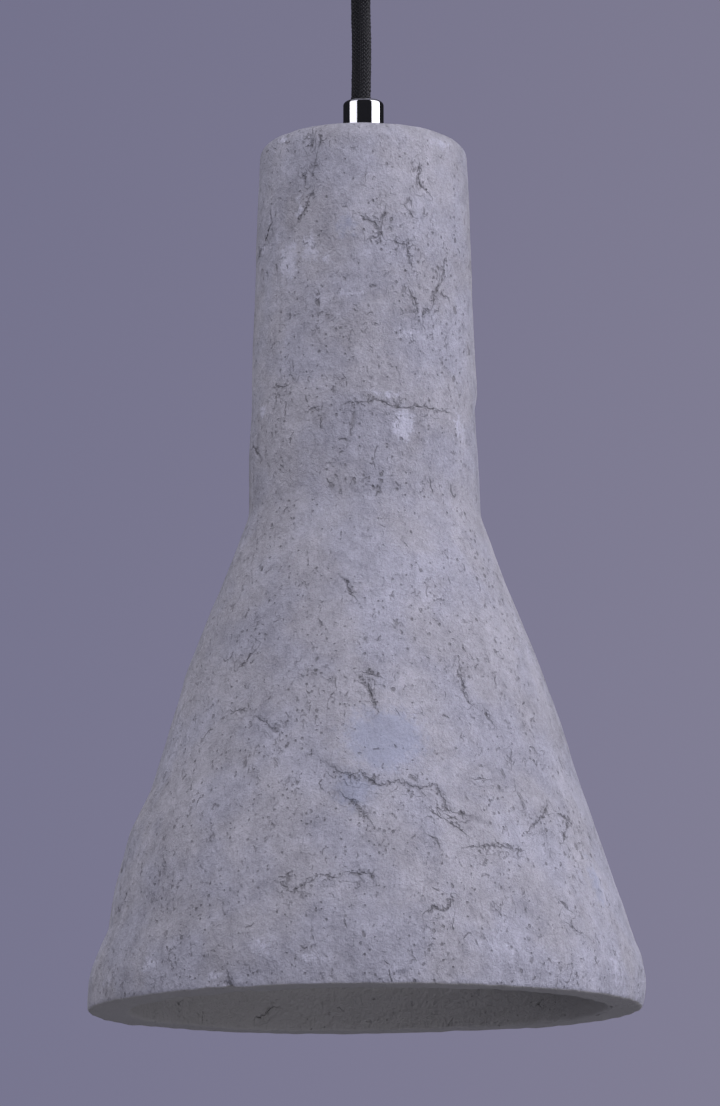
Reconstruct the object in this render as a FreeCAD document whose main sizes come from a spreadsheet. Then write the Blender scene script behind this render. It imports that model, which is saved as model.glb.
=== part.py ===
"""Pendant ceiling light: a cast concrete bottle-shaped shade hung on a short textile cord.

Row frame: millimetres, +Z up, origin at the centre of the ceiling plate's top face, so the
whole lamp is below z = 0. +X is the viewer's right and +Y points away from the viewer.
Every threaded pair is drawn with plain cylinders and a small radial clearance.
"""
import FreeCAD, Part
import math
import os
import Sketcher

Vector = FreeCAD.Vector

DRIVING_SIZES = {
    # ceiling plate and cup
    "plate_radius": 46.0,
    "plate_thickness": 1.5,
    "plate_slot_spacing": 60.0,
    "plate_slot_length": 12.0,
    "plate_slot_width": 4.6,
    "cable_entry_radius": 9.0,
    "tab_reach": 47.2,
    "tab_width": 14.0,
    "tab_depth": 14.0,
    "cup_radius": 50.0,
    "cup_depth": 26.0,
    "cup_wall": 1.2,
    "cup_corner_radius": 4.0,
    "side_screw_level": 9.0,
    "side_screw_radius": 2.0,
    "side_screw_head_radius": 3.6,
    "side_screw_head_height": 2.2,
    # terminal block and earth screw on the plate
    "block_length": 25.0,
    "block_width": 17.0,
    "block_height": 12.5,
    "block_offset": 25.0,
    "pole_pitch": 8.0,
    "earth_screw_offset": 28.0,
    "earth_tag_radius": 4.0,
    "sleeve_radius": 2.4,
    "sleeve_bore": 1.5,
    "sleeve_length": 14.0,
    "terminal_screw_offset": 4.0,
    # cord and its two grips
    "cord_radius": 3.4,
    "cord_drop": 44.0,
    "cord_twist_level": 38.0,
    "cord_end_gap": 0.35,
    "cord_spare": 2.0,
    "grip_radius": 7.2,
    "grip_length": 16.0,
    "grip_bore": 3.75,
    "shade_grip_bore": 4.4,
    "grip_edge": 1.3,
    "grip_thread_depth": 8.0,
    "thread_radius": 5.0,
    "thread_clearance": 0.05,
    "cup_stub_length": 7.0,
    "grip_screw_radius": 1.5,
    "grip_screw_level": 5.0,
    "nut_across_flats": 14.0,
    "nut_height": 3.5,
    # shade
    "shade_height": 307.0,
    "shade_top_radius": 36.6,
    "neck_foot_radius": 41.0,
    "neck_foot_height": 172.5,
    "cone_foot_radius": 95.6,
    "cone_foot_height": 13.5,
    "cone_curve_radius": 3300.0,
    "rim_radius": 94.9,
    "rim_wall": 12.4,
    "shade_top_thickness": 15.0,
    "neck_bore_top": 26.5,
    "neck_bore_foot": 29.6,
    "neck_bore_foot_height": 180.0,
    "nipple_hole_radius": 5.4,
    "top_edge_radius": 6.0,
    "shoulder_radius": 12.0,
    "band_edge_radius": 30.0,
    "rim_edge_radius": 1.2,
    "neck_bore_radius": 8.0,
    # hardware under the shade's top
    "nipple_bore": 3.6,
    "nipple_into_holder": 8.0,
    "rubber_washer_radius": 12.0,
    "rubber_washer_height": 2.0,
    "steel_washer_radius": 13.0,
    "steel_washer_height": 1.5,
    "earth_tag_height": 0.8,
    # E27 lamp holder
    "holder_cap_height": 26.0,
    "holder_radius": 18.5,
    "holder_neck_radius": 8.2,
    "holder_wall": 2.3,
    "skirt_length": 34.0,
    "skirt_spigot": 8.0,
    "skirt_bore": 14.4,
    "shell_radius": 14.1,
    "shell_bore": 13.35,
    "shell_length": 24.0,
    "insulator_radius": 14.2,
    "insulator_height": 16.0,
    "insulator_set_in": 6.0,
    "holder_screw_offset": 8.0,
    "contact_thickness": 0.5,
    # E27 opal lamp, globe 45 mm
    "lamp_thread_radius": 13.2,
    "lamp_thread_root": 12.35,
    "lamp_thread_pitch": 3.629,
    "lamp_globe_radius": 22.5,
    "lamp_length": 77.5,
    "lamp_cap_length": 26.4,
    "lamp_collar_radius": 19.6,
    "globe_wall": 1.2,
}
LAMP_THREAD_TURNS = 5
POLES = 3
LED_CHIPS = 8
SKIRT_RIBS = 6

# how a sketch numbers its own points and axes
LINE_START = 1
LINE_END = 2
SKETCH_ORIGIN = (-1, 1)
SKETCH_X_AXIS = -1
SKETCH_Y_AXIS = -2
MATCH_TOLERANCE = 0.02

doc = FreeCAD.newDocument("PendantCeilingLight")
sheet = doc.addObject("Spreadsheet::Sheet", "Sizes")
pieces = {}


class Size:
    """A number that remembers the sheet expression that gives it, so a feature can be bound to it."""

    def __init__(self, text, value):
        self.text = text
        self.value = float(value)

    def joined(self, sign, other, value):
        return Size(f"({self.text} {sign} {size(other).text})", value)

    def __add__(self, other):
        return self.joined("+", other, self.value + size(other).value)

    def __sub__(self, other):
        return self.joined("-", other, self.value - size(other).value)

    def __mul__(self, other):
        return self.joined("*", other, self.value * size(other).value)

    def __truediv__(self, other):
        return self.joined("/", other, self.value / size(other).value)

    def __neg__(self):
        return Size(f"(0 - {self.text})", -self.value)


def size(number):
    return number if isinstance(number, Size) else Size(repr(float(number)), number)


def leg(slant, side):
    """The third side of a right-angled triangle, as a Size."""
    value = math.sqrt(slant.value ** 2 - side.value ** 2)
    return Size(f"sqrt({slant.text} ^ 2 - {side.text} ^ 2)", value)


def fill_sheet():
    for row, (alias, value) in enumerate(DRIVING_SIZES.items(), start=1):
        sheet.set(f"A{row}", alias)
        sheet.set(f"B{row}", str(value))
        sheet.setAlias(f"B{row}", alias)
    doc.recompute()
    return {alias: Size(f"Sizes.{alias}", value) for alias, value in DRIVING_SIZES.items()}


d = fill_sheet()


# ---------------------------------------------------------------- modelling helpers


def bind(item, prop, number):
    """Sets one property to a number and, where it is a Size, binds it to the sheet."""
    number = size(number)
    if "." not in prop:
        setattr(item, prop, number.value)
    item.setExpression(prop, number.text)


def place(item, at=(0, 0, 0), turn=None):
    """Puts an object at a point of the row frame; turn is an (axis, degrees) pair."""
    rotation = FreeCAD.Rotation(Vector(*turn[0]), turn[1]) if turn else FreeCAD.Rotation()
    base = Vector(*(size(part).value for part in at))
    item.Placement = FreeCAD.Placement(base, rotation)
    for axis, part in zip("xyz", at):
        item.setExpression(f"Placement.Base.{axis}", size(part).text)
    return item


def keep(label, item):
    """Registers a finished sub-part under the name that its file gets."""
    item.Label = label
    pieces[label] = item
    return item


def origin_plane(body, role):
    return next(part for part in body.Origin.OriginFeatures if part.Role == role)


def new_sketch(body, name, role):
    sketch = body.newObject("Sketcher::SketchObject", name)
    sketch.AttachmentSupport = [(origin_plane(body, role), "")]
    sketch.MapMode = "FlatFace"
    return sketch


def pin_point(sketch, line, number, axis):
    """Holds a line's first point at a distance from the sketch's origin along one axis."""
    if size(number).value == 0:
        own_axis = SKETCH_Y_AXIS if axis == "X" else SKETCH_X_AXIS
        sketch.addConstraint(Sketcher.Constraint("PointOnObject", line, LINE_START, own_axis))
        return
    rule = Sketcher.Constraint(f"Distance{axis}", *SKETCH_ORIGIN, line, LINE_START, size(number).value)
    index = sketch.addConstraint(rule)
    sketch.setExpression(f"Constraints[{index}]", size(number).text)


def bulged(start, end, radius):
    """The arc of that radius between two points, bulging to the right of the way it runs."""
    chord = end - start
    middle = (start + end) * 0.5
    reach = math.sqrt(radius ** 2 - (chord.Length / 2) ** 2)
    side = Vector(chord.y, -chord.x, 0).normalize()
    centre = middle - side * reach
    circle = Part.Circle(centre, Vector(0, 0, 1), radius)
    first = math.atan2(start.y - centre.y, start.x - centre.x)
    last = math.atan2(end.y - centre.y, end.x - centre.x)
    return Part.ArcOfCircle(circle, first, last)


def draw_outline(sketch, outline):
    """A closed outline of (x, y) corners; a third entry is the radius of the arc that starts there."""
    corners = [Vector(size(c[0]).value, size(c[1]).value, 0) for c in outline]
    for index, corner in enumerate(outline):
        start, end = corners[index], corners[(index + 1) % len(corners)]
        if len(corner) == 3:
            sketch.addGeometry(bulged(start, end, size(corner[2]).value), False)
        else:
            sketch.addGeometry(Part.LineSegment(start, end), False)
    for index in range(len(outline)):
        previous = (index - 1) % len(outline)
        sketch.addConstraint(Sketcher.Constraint("Coincident", previous, LINE_END, index, LINE_START))
    for index, corner in enumerate(outline):
        pin_point(sketch, index, corner[0], "X")
        pin_point(sketch, index, corner[1], "Y")
        if len(corner) == 3:
            rule = sketch.addConstraint(Sketcher.Constraint("Radius", index, size(corner[2]).value))
            sketch.setExpression(f"Constraints[{rule}]", size(corner[2]).text)


def turned(name, outline):
    """A body turned about Z from an outline of (radius, height) corners, its own z = 0 at its foot."""
    body = doc.addObject("PartDesign::Body", name)
    sketch = new_sketch(body, name + "_outline", "XZ_Plane")
    draw_outline(sketch, outline)
    revolution = body.newObject("PartDesign::Revolution", name + "_turning")
    revolution.Profile = sketch
    revolution.ReferenceAxis = (sketch, ["V_Axis"])
    revolution.Angle = 360.0
    body.Tip = revolution
    doc.recompute()
    return body


def rings(shape, wanted):
    """Names of a shape's circular edges that have one of the wanted (radius, height) pairs."""
    found = []
    for index, edge in enumerate(shape.Edges, start=1):
        if not isinstance(edge.Curve, Part.Circle):
            continue
        for radius, height in wanted:
            same_size = abs(edge.Curve.Radius - radius) < MATCH_TOLERANCE
            same_level = abs(edge.Curve.Center.z - height) < MATCH_TOLERANCE
            if same_size and same_level and f"Edge{index}" not in found:
                found.append(f"Edge{index}")
    return found


def dressed(body, kind, prop, number, wanted):
    """Adds a fillet or chamfer to a body's circular edges."""
    base = body.Tip
    wanted = [(size(radius).value, size(height).value) for radius, height in wanted]
    names = rings(base.Shape, wanted)
    if len(names) != len(wanted):
        raise ValueError(f"{body.Name}: {len(names)} of {len(wanted)} edges found to dress")
    feature = body.newObject("PartDesign::" + kind, f"{body.Name}_{kind.lower()}_{len(body.Group)}")
    feature.Base = (base, names)
    bind(feature, prop, number)
    body.Tip = feature
    doc.recompute()
    return body


def cylinder(name, radius, height, at=(0, 0, 0), turn=None):
    item = doc.addObject("Part::Cylinder", name)
    bind(item, "Radius", radius)
    bind(item, "Height", height)
    return place(item, at, turn)


def box(name, length, width, height, at):
    """A box whose point (at) is the centre of its low face."""
    item = doc.addObject("Part::Box", name)
    bind(item, "Length", length)
    bind(item, "Width", width)
    bind(item, "Height", height)
    x, y, z = (size(part) for part in at)
    return place(item, (x - size(length) / 2, y - size(width) / 2, z))


def hexagon(name, across_flats, height, at=(0, 0, 0), turn=None):
    item = doc.addObject("Part::Prism", name)
    item.Polygon = 6
    bind(item, "Circumradius", size(across_flats) / math.sqrt(3))
    bind(item, "Height", height)
    return place(item, at, turn)


def fused(name, parts):
    item = doc.addObject("Part::MultiFuse", name)
    item.Shapes = parts
    item.Refine = True
    return item


def cut(name, base, tools):
    item = doc.addObject("Part::Cut", name)
    item.Base = base
    item.Tool = tools[0] if len(tools) == 1 else fused(name + "_tools", tools)
    return item


def group(name, parts):
    """Several separate solids that share one node."""
    item = doc.addObject("Part::Compound", name)
    item.Links = parts
    return item


def rounded_path(points, radius):
    """Straight runs joined by tangent arcs of one radius, as one wire."""
    edges = []
    start = points[0]
    for before, corner, after in zip(points, points[1:], points[2:]):
        into = (corner - before).normalize()
        out = (after - corner).normalize()
        turn = into.getAngle(out)
        setback = radius * math.tan(turn / 2)
        arc_start = corner - into * setback
        arc_end = corner + out * setback
        inward = (out - into).normalize()
        middle = corner + inward * (radius / math.cos(turn / 2) - radius)
        edges.append(Part.LineSegment(start, arc_start).toShape())
        edges.append(Part.Arc(arc_start, middle, arc_end).toShape())
        start = arc_end
    edges.append(Part.LineSegment(start, points[-1]).toShape())
    return Part.Wire(edges)


def wire_piece(label, radius, bend, points):
    """A round wire along a route, set from Part's own functions because no feature sweeps it simply."""
    route = [Vector(*(size(part).value for part in point)) for point in points]
    path = rounded_path(route, bend)
    start = route[0]
    circle = Part.Circle(start, (route[1] - start).normalize(), radius)
    profile = Part.Wire([circle.toShape()])
    item = doc.addObject("Part::Feature", label)
    item.Shape = path.makePipeShell([profile], True, False)
    expected = math.pi * radius ** 2 * path.Length
    if abs(item.Shape.Volume / expected - 1) > MATCH_TOLERANCE:
        raise ValueError(f"{label}: volume {item.Shape.Volume:.1f}, expected {expected:.1f}")
    return keep(label, item)


# ---------------------------------------------------------------- levels, from the ceiling down

CUP_FLOOR = -d["cup_depth"]
CUP_GRIP_MOUTH = CUP_FLOOR - d["grip_length"]
TWIST_LEVEL = CUP_GRIP_MOUTH - d["cord_twist_level"]
SHADE_GRIP_MOUTH = CUP_GRIP_MOUTH - d["cord_drop"]
SHADE_TOP = SHADE_GRIP_MOUTH - d["grip_length"]
SHADE_RIM = SHADE_TOP - d["shade_height"]
TOP_UNDERSIDE = SHADE_TOP - d["shade_top_thickness"]
RUBBER_WASHER_FOOT = TOP_UNDERSIDE - d["rubber_washer_height"]
STEEL_WASHER_FOOT = RUBBER_WASHER_FOOT - d["steel_washer_height"]
EARTH_TAG_FOOT = STEEL_WASHER_FOOT - d["earth_tag_height"]
NUT_FOOT = EARTH_TAG_FOOT - d["nut_height"]
HOLDER_CAP_FOOT = NUT_FOOT - d["holder_cap_height"]
NIPPLE_FOOT = NUT_FOOT - d["nipple_into_holder"]
SKIRT_MOUTH = HOLDER_CAP_FOOT - d["skirt_length"]
INSULATOR_FOOT = HOLDER_CAP_FOOT - d["insulator_set_in"]
LAMP_TIP = INSULATOR_FOOT - d["contact_thickness"] * 4
LAMP_BOTTOM = LAMP_TIP - d["lamp_length"]
GLOBE_CENTRE = LAMP_BOTTOM + d["lamp_globe_radius"]
LAMP_CAP_FOOT = LAMP_TIP - d["lamp_cap_length"]
COLLAR_FOOT = GLOBE_CENTRE + leg(d["lamp_globe_radius"], d["lamp_collar_radius"])
CORD_BELOW_NIPPLE = 1.5
GRUB_TIP = d["cord_radius"] + 0.02
GRUB_TAIL = d["grip_radius"] - 0.3
GRUB_HOLE = d["grip_screw_radius"] + 0.05

ALONG_X = ((0, 1, 0), 90)
ALONG_MINUS_X = ((0, 1, 0), -90)
ALONG_Y = ((1, 0, 0), -90)
EARTH_WAY_OFFSET = 10.5
SCREW_SLOT_WIDTH = 0.8
SCREW_SLOT_DEPTH = 0.9
THROUGH = 10
ACROSS_CUP = 120
TAP_CLEARANCE = 0.05


def slotted_screw(name, shank, head, shank_length, head_height, at, turn=None):
    """A cheese-head screw, head at the foot: its shank rises from the point given along its own z."""
    outline = [
        (0, 0),
        (head, 0),
        (head, head_height),
        (shank, head_height),
        (shank, size(head_height) + shank_length),
        (0, size(head_height) + shank_length),
    ]
    blank = turned(name + "_blank", outline)
    slot = box(name + "_slot", size(head) * 3, SCREW_SLOT_WIDTH, SCREW_SLOT_DEPTH * 2,
               (0, 0, -SCREW_SLOT_DEPTH))
    return place(cut(name, blank, [slot]), at, turn)


# ---------------------------------------------------------------- ceiling fitting


def make_ceiling_plate():
    slot_reach = d["plate_slot_length"] - d["plate_slot_width"]
    slot_radius = d["plate_slot_width"] / 2
    earth_hole = d["side_screw_radius"] + d["thread_clearance"]
    block_screw_hole = 1.45
    start = -THROUGH / 2
    holes = [
        cylinder("cable_entry", d["cable_entry_radius"], THROUGH, (0, 0, start)),
        cylinder("earth_hole", earth_hole, THROUGH, (0, -d["earth_screw_offset"], start)),
    ]
    for side in (-1, 1):
        middle = d["plate_slot_spacing"] / 2 * side
        holes.append(box(f"slot_run_{side + 1}", slot_reach, slot_radius * 2, THROUGH, (middle, 0, start)))
        for end in (-1, 1):
            at = (middle + slot_reach / 2 * end, 0, start)
            holes.append(cylinder(f"slot_end_{side + 1}_{end + 1}", slot_radius, THROUGH, at))
        at = (d["pole_pitch"] / 2 * side, d["block_offset"], start)
        holes.append(cylinder(f"block_screw_hole_{side + 1}", block_screw_hole, THROUGH, at))
    plate_foot = -d["plate_thickness"]
    sheet_parts = [cylinder("plate_disc", d["plate_radius"], d["plate_thickness"], (0, 0, plate_foot))]
    tab_inset = 12
    for side in (-1, 1):
        tongue = box(f"tongue_{side + 1}", tab_inset, d["tab_width"], d["plate_thickness"],
                     ((d["tab_reach"] - tab_inset / 2) * side, 0, plate_foot))
        tab = box(f"tab_{side + 1}", d["plate_thickness"], d["tab_width"], d["tab_depth"],
                  ((d["tab_reach"] - d["plate_thickness"] / 2) * side, 0, -d["tab_depth"]))
        sheet_parts += [tongue, tab]
    holes.append(cylinder("tab_holes", d["side_screw_radius"] + d["thread_clearance"], ACROSS_CUP,
                          (-ACROSS_CUP / 2, 0, -d["side_screw_level"]), ALONG_X))
    keep("ceiling_plate", cut("ceiling_plate", fused("plate_blank", sheet_parts), holes))


def make_cup():
    inner = d["cup_radius"] - d["cup_wall"]
    floor = d["cup_wall"]
    grip_hole = d["thread_radius"] + 0.1
    cup = turned("cup_turned", [
        (grip_hole, 0),
        (d["cup_radius"], 0),
        (d["cup_radius"], d["cup_depth"]),
        (inner, d["cup_depth"]),
        (inner, floor),
        (grip_hole, floor),
    ])
    dressed(cup, "Fillet", "Radius", d["cup_corner_radius"], [(d["cup_radius"], 0)])
    dressed(cup, "Fillet", "Radius", d["cup_corner_radius"] - d["cup_wall"], [(inner, floor)])
    place(cup, (0, 0, CUP_FLOOR))
    holes = cylinder("cup_side_holes", d["side_screw_radius"] + 0.2, ACROSS_CUP,
                     (-ACROSS_CUP / 2, 0, -d["side_screw_level"]), ALONG_X)
    keep("ceiling_cup", cut("ceiling_cup", cup, [holes]))


def make_side_screws():
    screws = []
    shank_length = 7
    head_radius = d["side_screw_head_radius"]
    head_height = d["side_screw_head_height"]
    reach = d["cup_radius"] + head_height + 0.1
    for side, turn in ((-1, ALONG_X), (1, ALONG_MINUS_X)):
        at = (reach * side, 0, -d["side_screw_level"])
        screws.append(slotted_screw(f"side_screw_{side + 1}", d["side_screw_radius"], head_radius,
                                    shank_length, head_height, at, turn))
    keep("cup_side_screws", group("cup_side_screws", screws))


def make_terminal_block():
    foot = -d["plate_thickness"] - d["block_height"]
    wire_level = -d["plate_thickness"] - d["block_height"] / 2
    middle = d["block_offset"]
    blank = box("block_blank", d["block_length"], d["block_width"], d["block_height"], (0, middle, foot))
    pole_bore = d["sleeve_radius"] + TAP_CLEARANCE
    bore_length = 30
    bore_start = middle - bore_length / 2
    well_radius = 1.9
    tapping_radius = 1.3
    tapping_depth = 6
    tapping_foot = wire_level - tapping_depth
    shank_radius = 1.25
    shank_length = 1.5
    head_radius = 1.7
    head_height = 1.6
    head_level = wire_level - 4.6
    fixing_radius = 1.5
    tools = []
    sleeves = []
    screws = []
    for pole in range(POLES):
        x = d["pole_pitch"] * (pole - (POLES - 1) / 2)
        start = (x, bore_start, wire_level)
        tools.append(cylinder(f"pole_bore_{pole}", pole_bore, bore_length, start, ALONG_Y))
        sleeve = cylinder(f"sleeve_blank_{pole}", d["sleeve_radius"], d["sleeve_length"],
                          (x, middle - d["sleeve_length"] / 2, wire_level), ALONG_Y)
        bores = [cylinder(f"sleeve_bore_{pole}", d["sleeve_bore"], bore_length, start, ALONG_Y)]
        for end in (-1, 1):
            y = middle + d["terminal_screw_offset"] * end
            tag = f"{pole}_{end + 1}"
            tools.append(cylinder("well_" + tag, well_radius, d["block_height"] / 2, (x, y, foot)))
            bores.append(cylinder("tapping_" + tag, tapping_radius, tapping_depth, (x, y, tapping_foot)))
            screws.append(slotted_screw("terminal_screw_" + tag, shank_radius, head_radius, shank_length,
                                        head_height, (x, y, head_level)))
        sleeves.append(cut(f"sleeve_{pole}", sleeve, bores))
    for side in (-1, 1):
        at = (d["pole_pitch"] / 2 * side, middle, foot)
        tools.append(cylinder(f"block_fixing_{side + 1}", fixing_radius, bore_length, at))
    keep("terminal_block", cut("terminal_block", blank, tools))
    keep("terminal_sleeves", group("terminal_sleeves", sleeves))
    keep("terminal_screws", group("terminal_screws", screws))


def make_block_screws():
    foot = -d["plate_thickness"] - d["block_height"]
    head_height = 1.2
    head_radius = 1.45
    shank_radius = 1.4
    shank_length = d["block_height"] + d["plate_thickness"]
    screws = []
    for side in (-1, 1):
        at = (d["pole_pitch"] / 2 * side, d["block_offset"], foot - head_height)
        screws.append(slotted_screw(f"block_screw_{side + 1}", shank_radius, head_radius, shank_length,
                                    head_height, at))
    keep("terminal_block_screws", group("terminal_block_screws", screws))


def make_plate_earth():
    """The plate's earth screw and the ring tag under its head, with the tag's tongue towards the cord."""
    middle = -d["earth_screw_offset"]
    head_height = d["side_screw_head_height"]
    tag_foot = -d["plate_thickness"] - d["earth_tag_height"]
    screw = slotted_screw("plate_earth_screw", d["side_screw_radius"], d["side_screw_head_radius"],
                          d["plate_thickness"] + d["earth_tag_height"], head_height,
                          (0, middle, tag_foot - head_height))
    keep("plate_earth_screw", screw)
    tongue_width = 3
    tongue_length = 8
    ring = cylinder("plate_tag_disc", d["earth_tag_radius"], d["earth_tag_height"], (0, middle, tag_foot))
    tongue = box("plate_tag_tongue", tongue_width, tongue_length, d["earth_tag_height"],
                 (0, middle + tongue_length / 2 + 2, tag_foot))
    hole = cylinder("plate_tag_hole", d["side_screw_radius"] + 0.1, THROUGH, (0, middle, -THROUGH + 2))
    keep("plate_earth_tag", cut("plate_earth_tag", fused("plate_tag_blank", [ring, tongue]), [hole]))


# ---------------------------------------------------------------- cord and cord grips


def grub_screw(label, level, tip, outer):
    """A socket set screw on the +Y side, its tip (tip) from the axis and its tail at (outer)."""
    length = size(outer) - tip
    socket_across_flats = 1.5
    socket_depth = 1.4
    shank = cylinder(label + "_shank", d["grip_screw_radius"], length, (0, tip, level), ALONG_Y)
    socket = hexagon(label + "_socket", socket_across_flats, socket_depth + 1,
                     (0, size(outer) - socket_depth, level), ALONG_Y)
    return keep(label, cut(label, shank, [socket]))


def make_cup_grip():
    stub_top = d["grip_length"] + d["cup_stub_length"]
    grip = turned("cup_grip_turned", [
        (d["grip_bore"], 0),
        (d["grip_radius"], 0),
        (d["grip_radius"], d["grip_length"]),
        (d["thread_radius"], d["grip_length"]),
        (d["thread_radius"], stub_top),
        (d["grip_bore"], stub_top),
    ])
    dressed(grip, "Fillet", "Radius", d["grip_edge"], [(d["grip_radius"], 0)])
    place(grip, (0, 0, CUP_GRIP_MOUTH))
    level = CUP_GRIP_MOUTH + d["grip_screw_level"]
    hole = cylinder("cup_grip_tapping", GRUB_HOLE, THROUGH, (0, 0, level), ALONG_Y)
    keep("cup_cord_grip", cut("cup_cord_grip", grip, [hole]))
    grub_screw("cup_grip_screw", level, GRUB_TIP, GRUB_TAIL)
    nut_foot = CUP_FLOOR + d["cup_wall"]
    blank = hexagon("cup_nut_blank", d["nut_across_flats"], d["nut_height"], (0, 0, nut_foot))
    bore = cylinder("cup_nut_bore", d["thread_radius"] + d["thread_clearance"], THROUGH, (0, 0, nut_foot - 1))
    keep("cup_grip_nut", cut("cup_grip_nut", blank, [bore]))


def round_ended(label, foot, length, end):
    """A stretch of cord that rises from (foot), with a ball at the level (end) where it turns in its grip."""
    run = cylinder(label + "_run", d["cord_radius"], length, (0, 0, foot))
    ball = doc.addObject("Part::Sphere", label + "_ball")
    bind(ball, "Radius", d["cord_radius"])
    place(ball, (0, 0, end))
    return keep(label, fused(label, [run, ball]))


def make_cord():
    """The cord in four stretches: in the cup's grip, hanging, below the twist and in the shade's grip."""
    clearance = d["cord_radius"] + d["cord_end_gap"]
    hidden_top = CUP_FLOOR + d["cup_stub_length"] + d["cord_spare"]
    hidden_foot = NIPPLE_FOOT - CORD_BELOW_NIPPLE
    foot = CUP_GRIP_MOUTH + clearance
    keep("cord_top_end", cylinder("cord_top_end", d["cord_radius"], hidden_top - foot, (0, 0, foot)))
    round_ended("cord_upper", TWIST_LEVEL, d["cord_twist_level"], CUP_GRIP_MOUTH)
    round_ended("cord_lower", SHADE_GRIP_MOUTH, d["cord_drop"] - d["cord_twist_level"], SHADE_GRIP_MOUTH)
    top = SHADE_GRIP_MOUTH - clearance
    length = top - hidden_foot
    keep("cord_bottom_end", cylinder("cord_bottom_end", d["cord_radius"], length, (0, 0, hidden_foot)))


def make_shade_grip():
    socket = d["thread_radius"] + d["thread_clearance"]
    grip = turned("shade_grip_turned", [
        (socket, 0),
        (d["grip_radius"], 0),
        (d["grip_radius"], d["grip_length"]),
        (d["shade_grip_bore"], d["grip_length"]),
        (d["shade_grip_bore"], d["grip_thread_depth"]),
        (socket, d["grip_thread_depth"]),
    ])
    dressed(grip, "Fillet", "Radius", d["grip_edge"], [(d["grip_radius"], d["grip_length"])])
    place(grip, (0, 0, SHADE_TOP))
    level = SHADE_GRIP_MOUTH - d["grip_screw_level"]
    hole = cylinder("shade_grip_tapping", GRUB_HOLE, THROUGH, (0, 0, level), ALONG_Y)
    keep("shade_cord_grip", cut("shade_cord_grip", grip, [hole]))
    grub_screw("shade_grip_screw", level, GRUB_TIP, GRUB_TAIL)


# ---------------------------------------------------------------- shade


def make_shade():
    top = d["shade_height"]
    underside = top - d["shade_top_thickness"]
    shade = turned("concrete_shade", [
        (d["rim_radius"] - d["rim_wall"], 0),
        (d["rim_radius"], 0),
        (d["cone_foot_radius"], d["cone_foot_height"], d["cone_curve_radius"]),
        (d["neck_foot_radius"], d["neck_foot_height"]),
        (d["shade_top_radius"], top),
        (d["nipple_hole_radius"], top),
        (d["nipple_hole_radius"], underside),
        (d["neck_bore_top"], underside),
        (d["neck_bore_foot"], d["neck_bore_foot_height"]),
    ])
    shoulder = (d["neck_foot_radius"], d["neck_foot_height"])
    band_edge = (d["cone_foot_radius"], d["cone_foot_height"])
    dressed(shade, "Fillet", "Radius", d["top_edge_radius"], [(d["shade_top_radius"], top)])
    dressed(shade, "Fillet", "Radius", d["shoulder_radius"], [shoulder])
    dressed(shade, "Fillet", "Radius", d["band_edge_radius"], [band_edge])
    dressed(shade, "Fillet", "Radius", d["neck_bore_radius"], [
        (d["neck_bore_foot"], d["neck_bore_foot_height"]),
        (d["neck_bore_top"], underside),
    ])
    dressed(shade, "Fillet", "Radius", d["rim_edge_radius"], [
        (d["rim_radius"], 0),
        (d["rim_radius"] - d["rim_wall"], 0),
    ])
    place(shade, (0, 0, SHADE_RIM))
    keep("concrete_shade", shade)


# ---------------------------------------------------------------- hardware under the shade's top


def washer(label, outer, inner, height, foot):
    blank = cylinder(label + "_disc", outer, height, (0, 0, foot))
    bore = cylinder(label + "_hole", inner, size(height) + 2, (0, 0, size(foot) - 1))
    return cut(label, blank, [bore])


def make_hardware():
    length = SHADE_TOP + d["grip_thread_depth"] - 0.2 - NIPPLE_FOOT
    chamfer = 0.6
    nipple = turned("threaded_nipple", [
        (d["nipple_bore"], 0),
        (d["thread_radius"], 0),
        (d["thread_radius"], length),
        (d["nipple_bore"], length),
    ])
    dressed(nipple, "Chamfer", "Size", chamfer, [(d["thread_radius"], 0), (d["thread_radius"], length)])
    keep("threaded_nipple", place(nipple, (0, 0, NIPPLE_FOOT)))
    loose = d["thread_radius"] + 0.2
    keep("rubber_washer", washer("rubber_washer", d["rubber_washer_radius"], loose,
                                 d["rubber_washer_height"], RUBBER_WASHER_FOOT))
    keep("steel_washer", washer("steel_washer", d["steel_washer_radius"], loose,
                                d["steel_washer_height"], STEEL_WASHER_FOOT))
    ring_radius = 8
    tongue_width = 4
    tongue_length = 14
    ring = cylinder("earth_tag_disc", ring_radius, d["earth_tag_height"], (0, 0, EARTH_TAG_FOOT))
    tongue = box("earth_tag_tongue", tongue_width, tongue_length, d["earth_tag_height"],
                 (0, -5 - tongue_length / 2, EARTH_TAG_FOOT))
    hole = cylinder("earth_tag_hole", loose, THROUGH, (0, 0, EARTH_TAG_FOOT - THROUGH / 2))
    keep("holder_earth_tag", cut("holder_earth_tag", fused("earth_tag_blank", [ring, tongue]), [hole]))
    blank = hexagon("nipple_nut_blank", d["nut_across_flats"], d["nut_height"], (0, 0, NUT_FOOT))
    bore = cylinder("nipple_nut_bore", d["thread_radius"] + d["thread_clearance"], THROUGH,
                    (0, 0, NUT_FOOT - 3))
    keep("nipple_nut", cut("nipple_nut", blank, [bore]))


# ---------------------------------------------------------------- lamp holder


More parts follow.
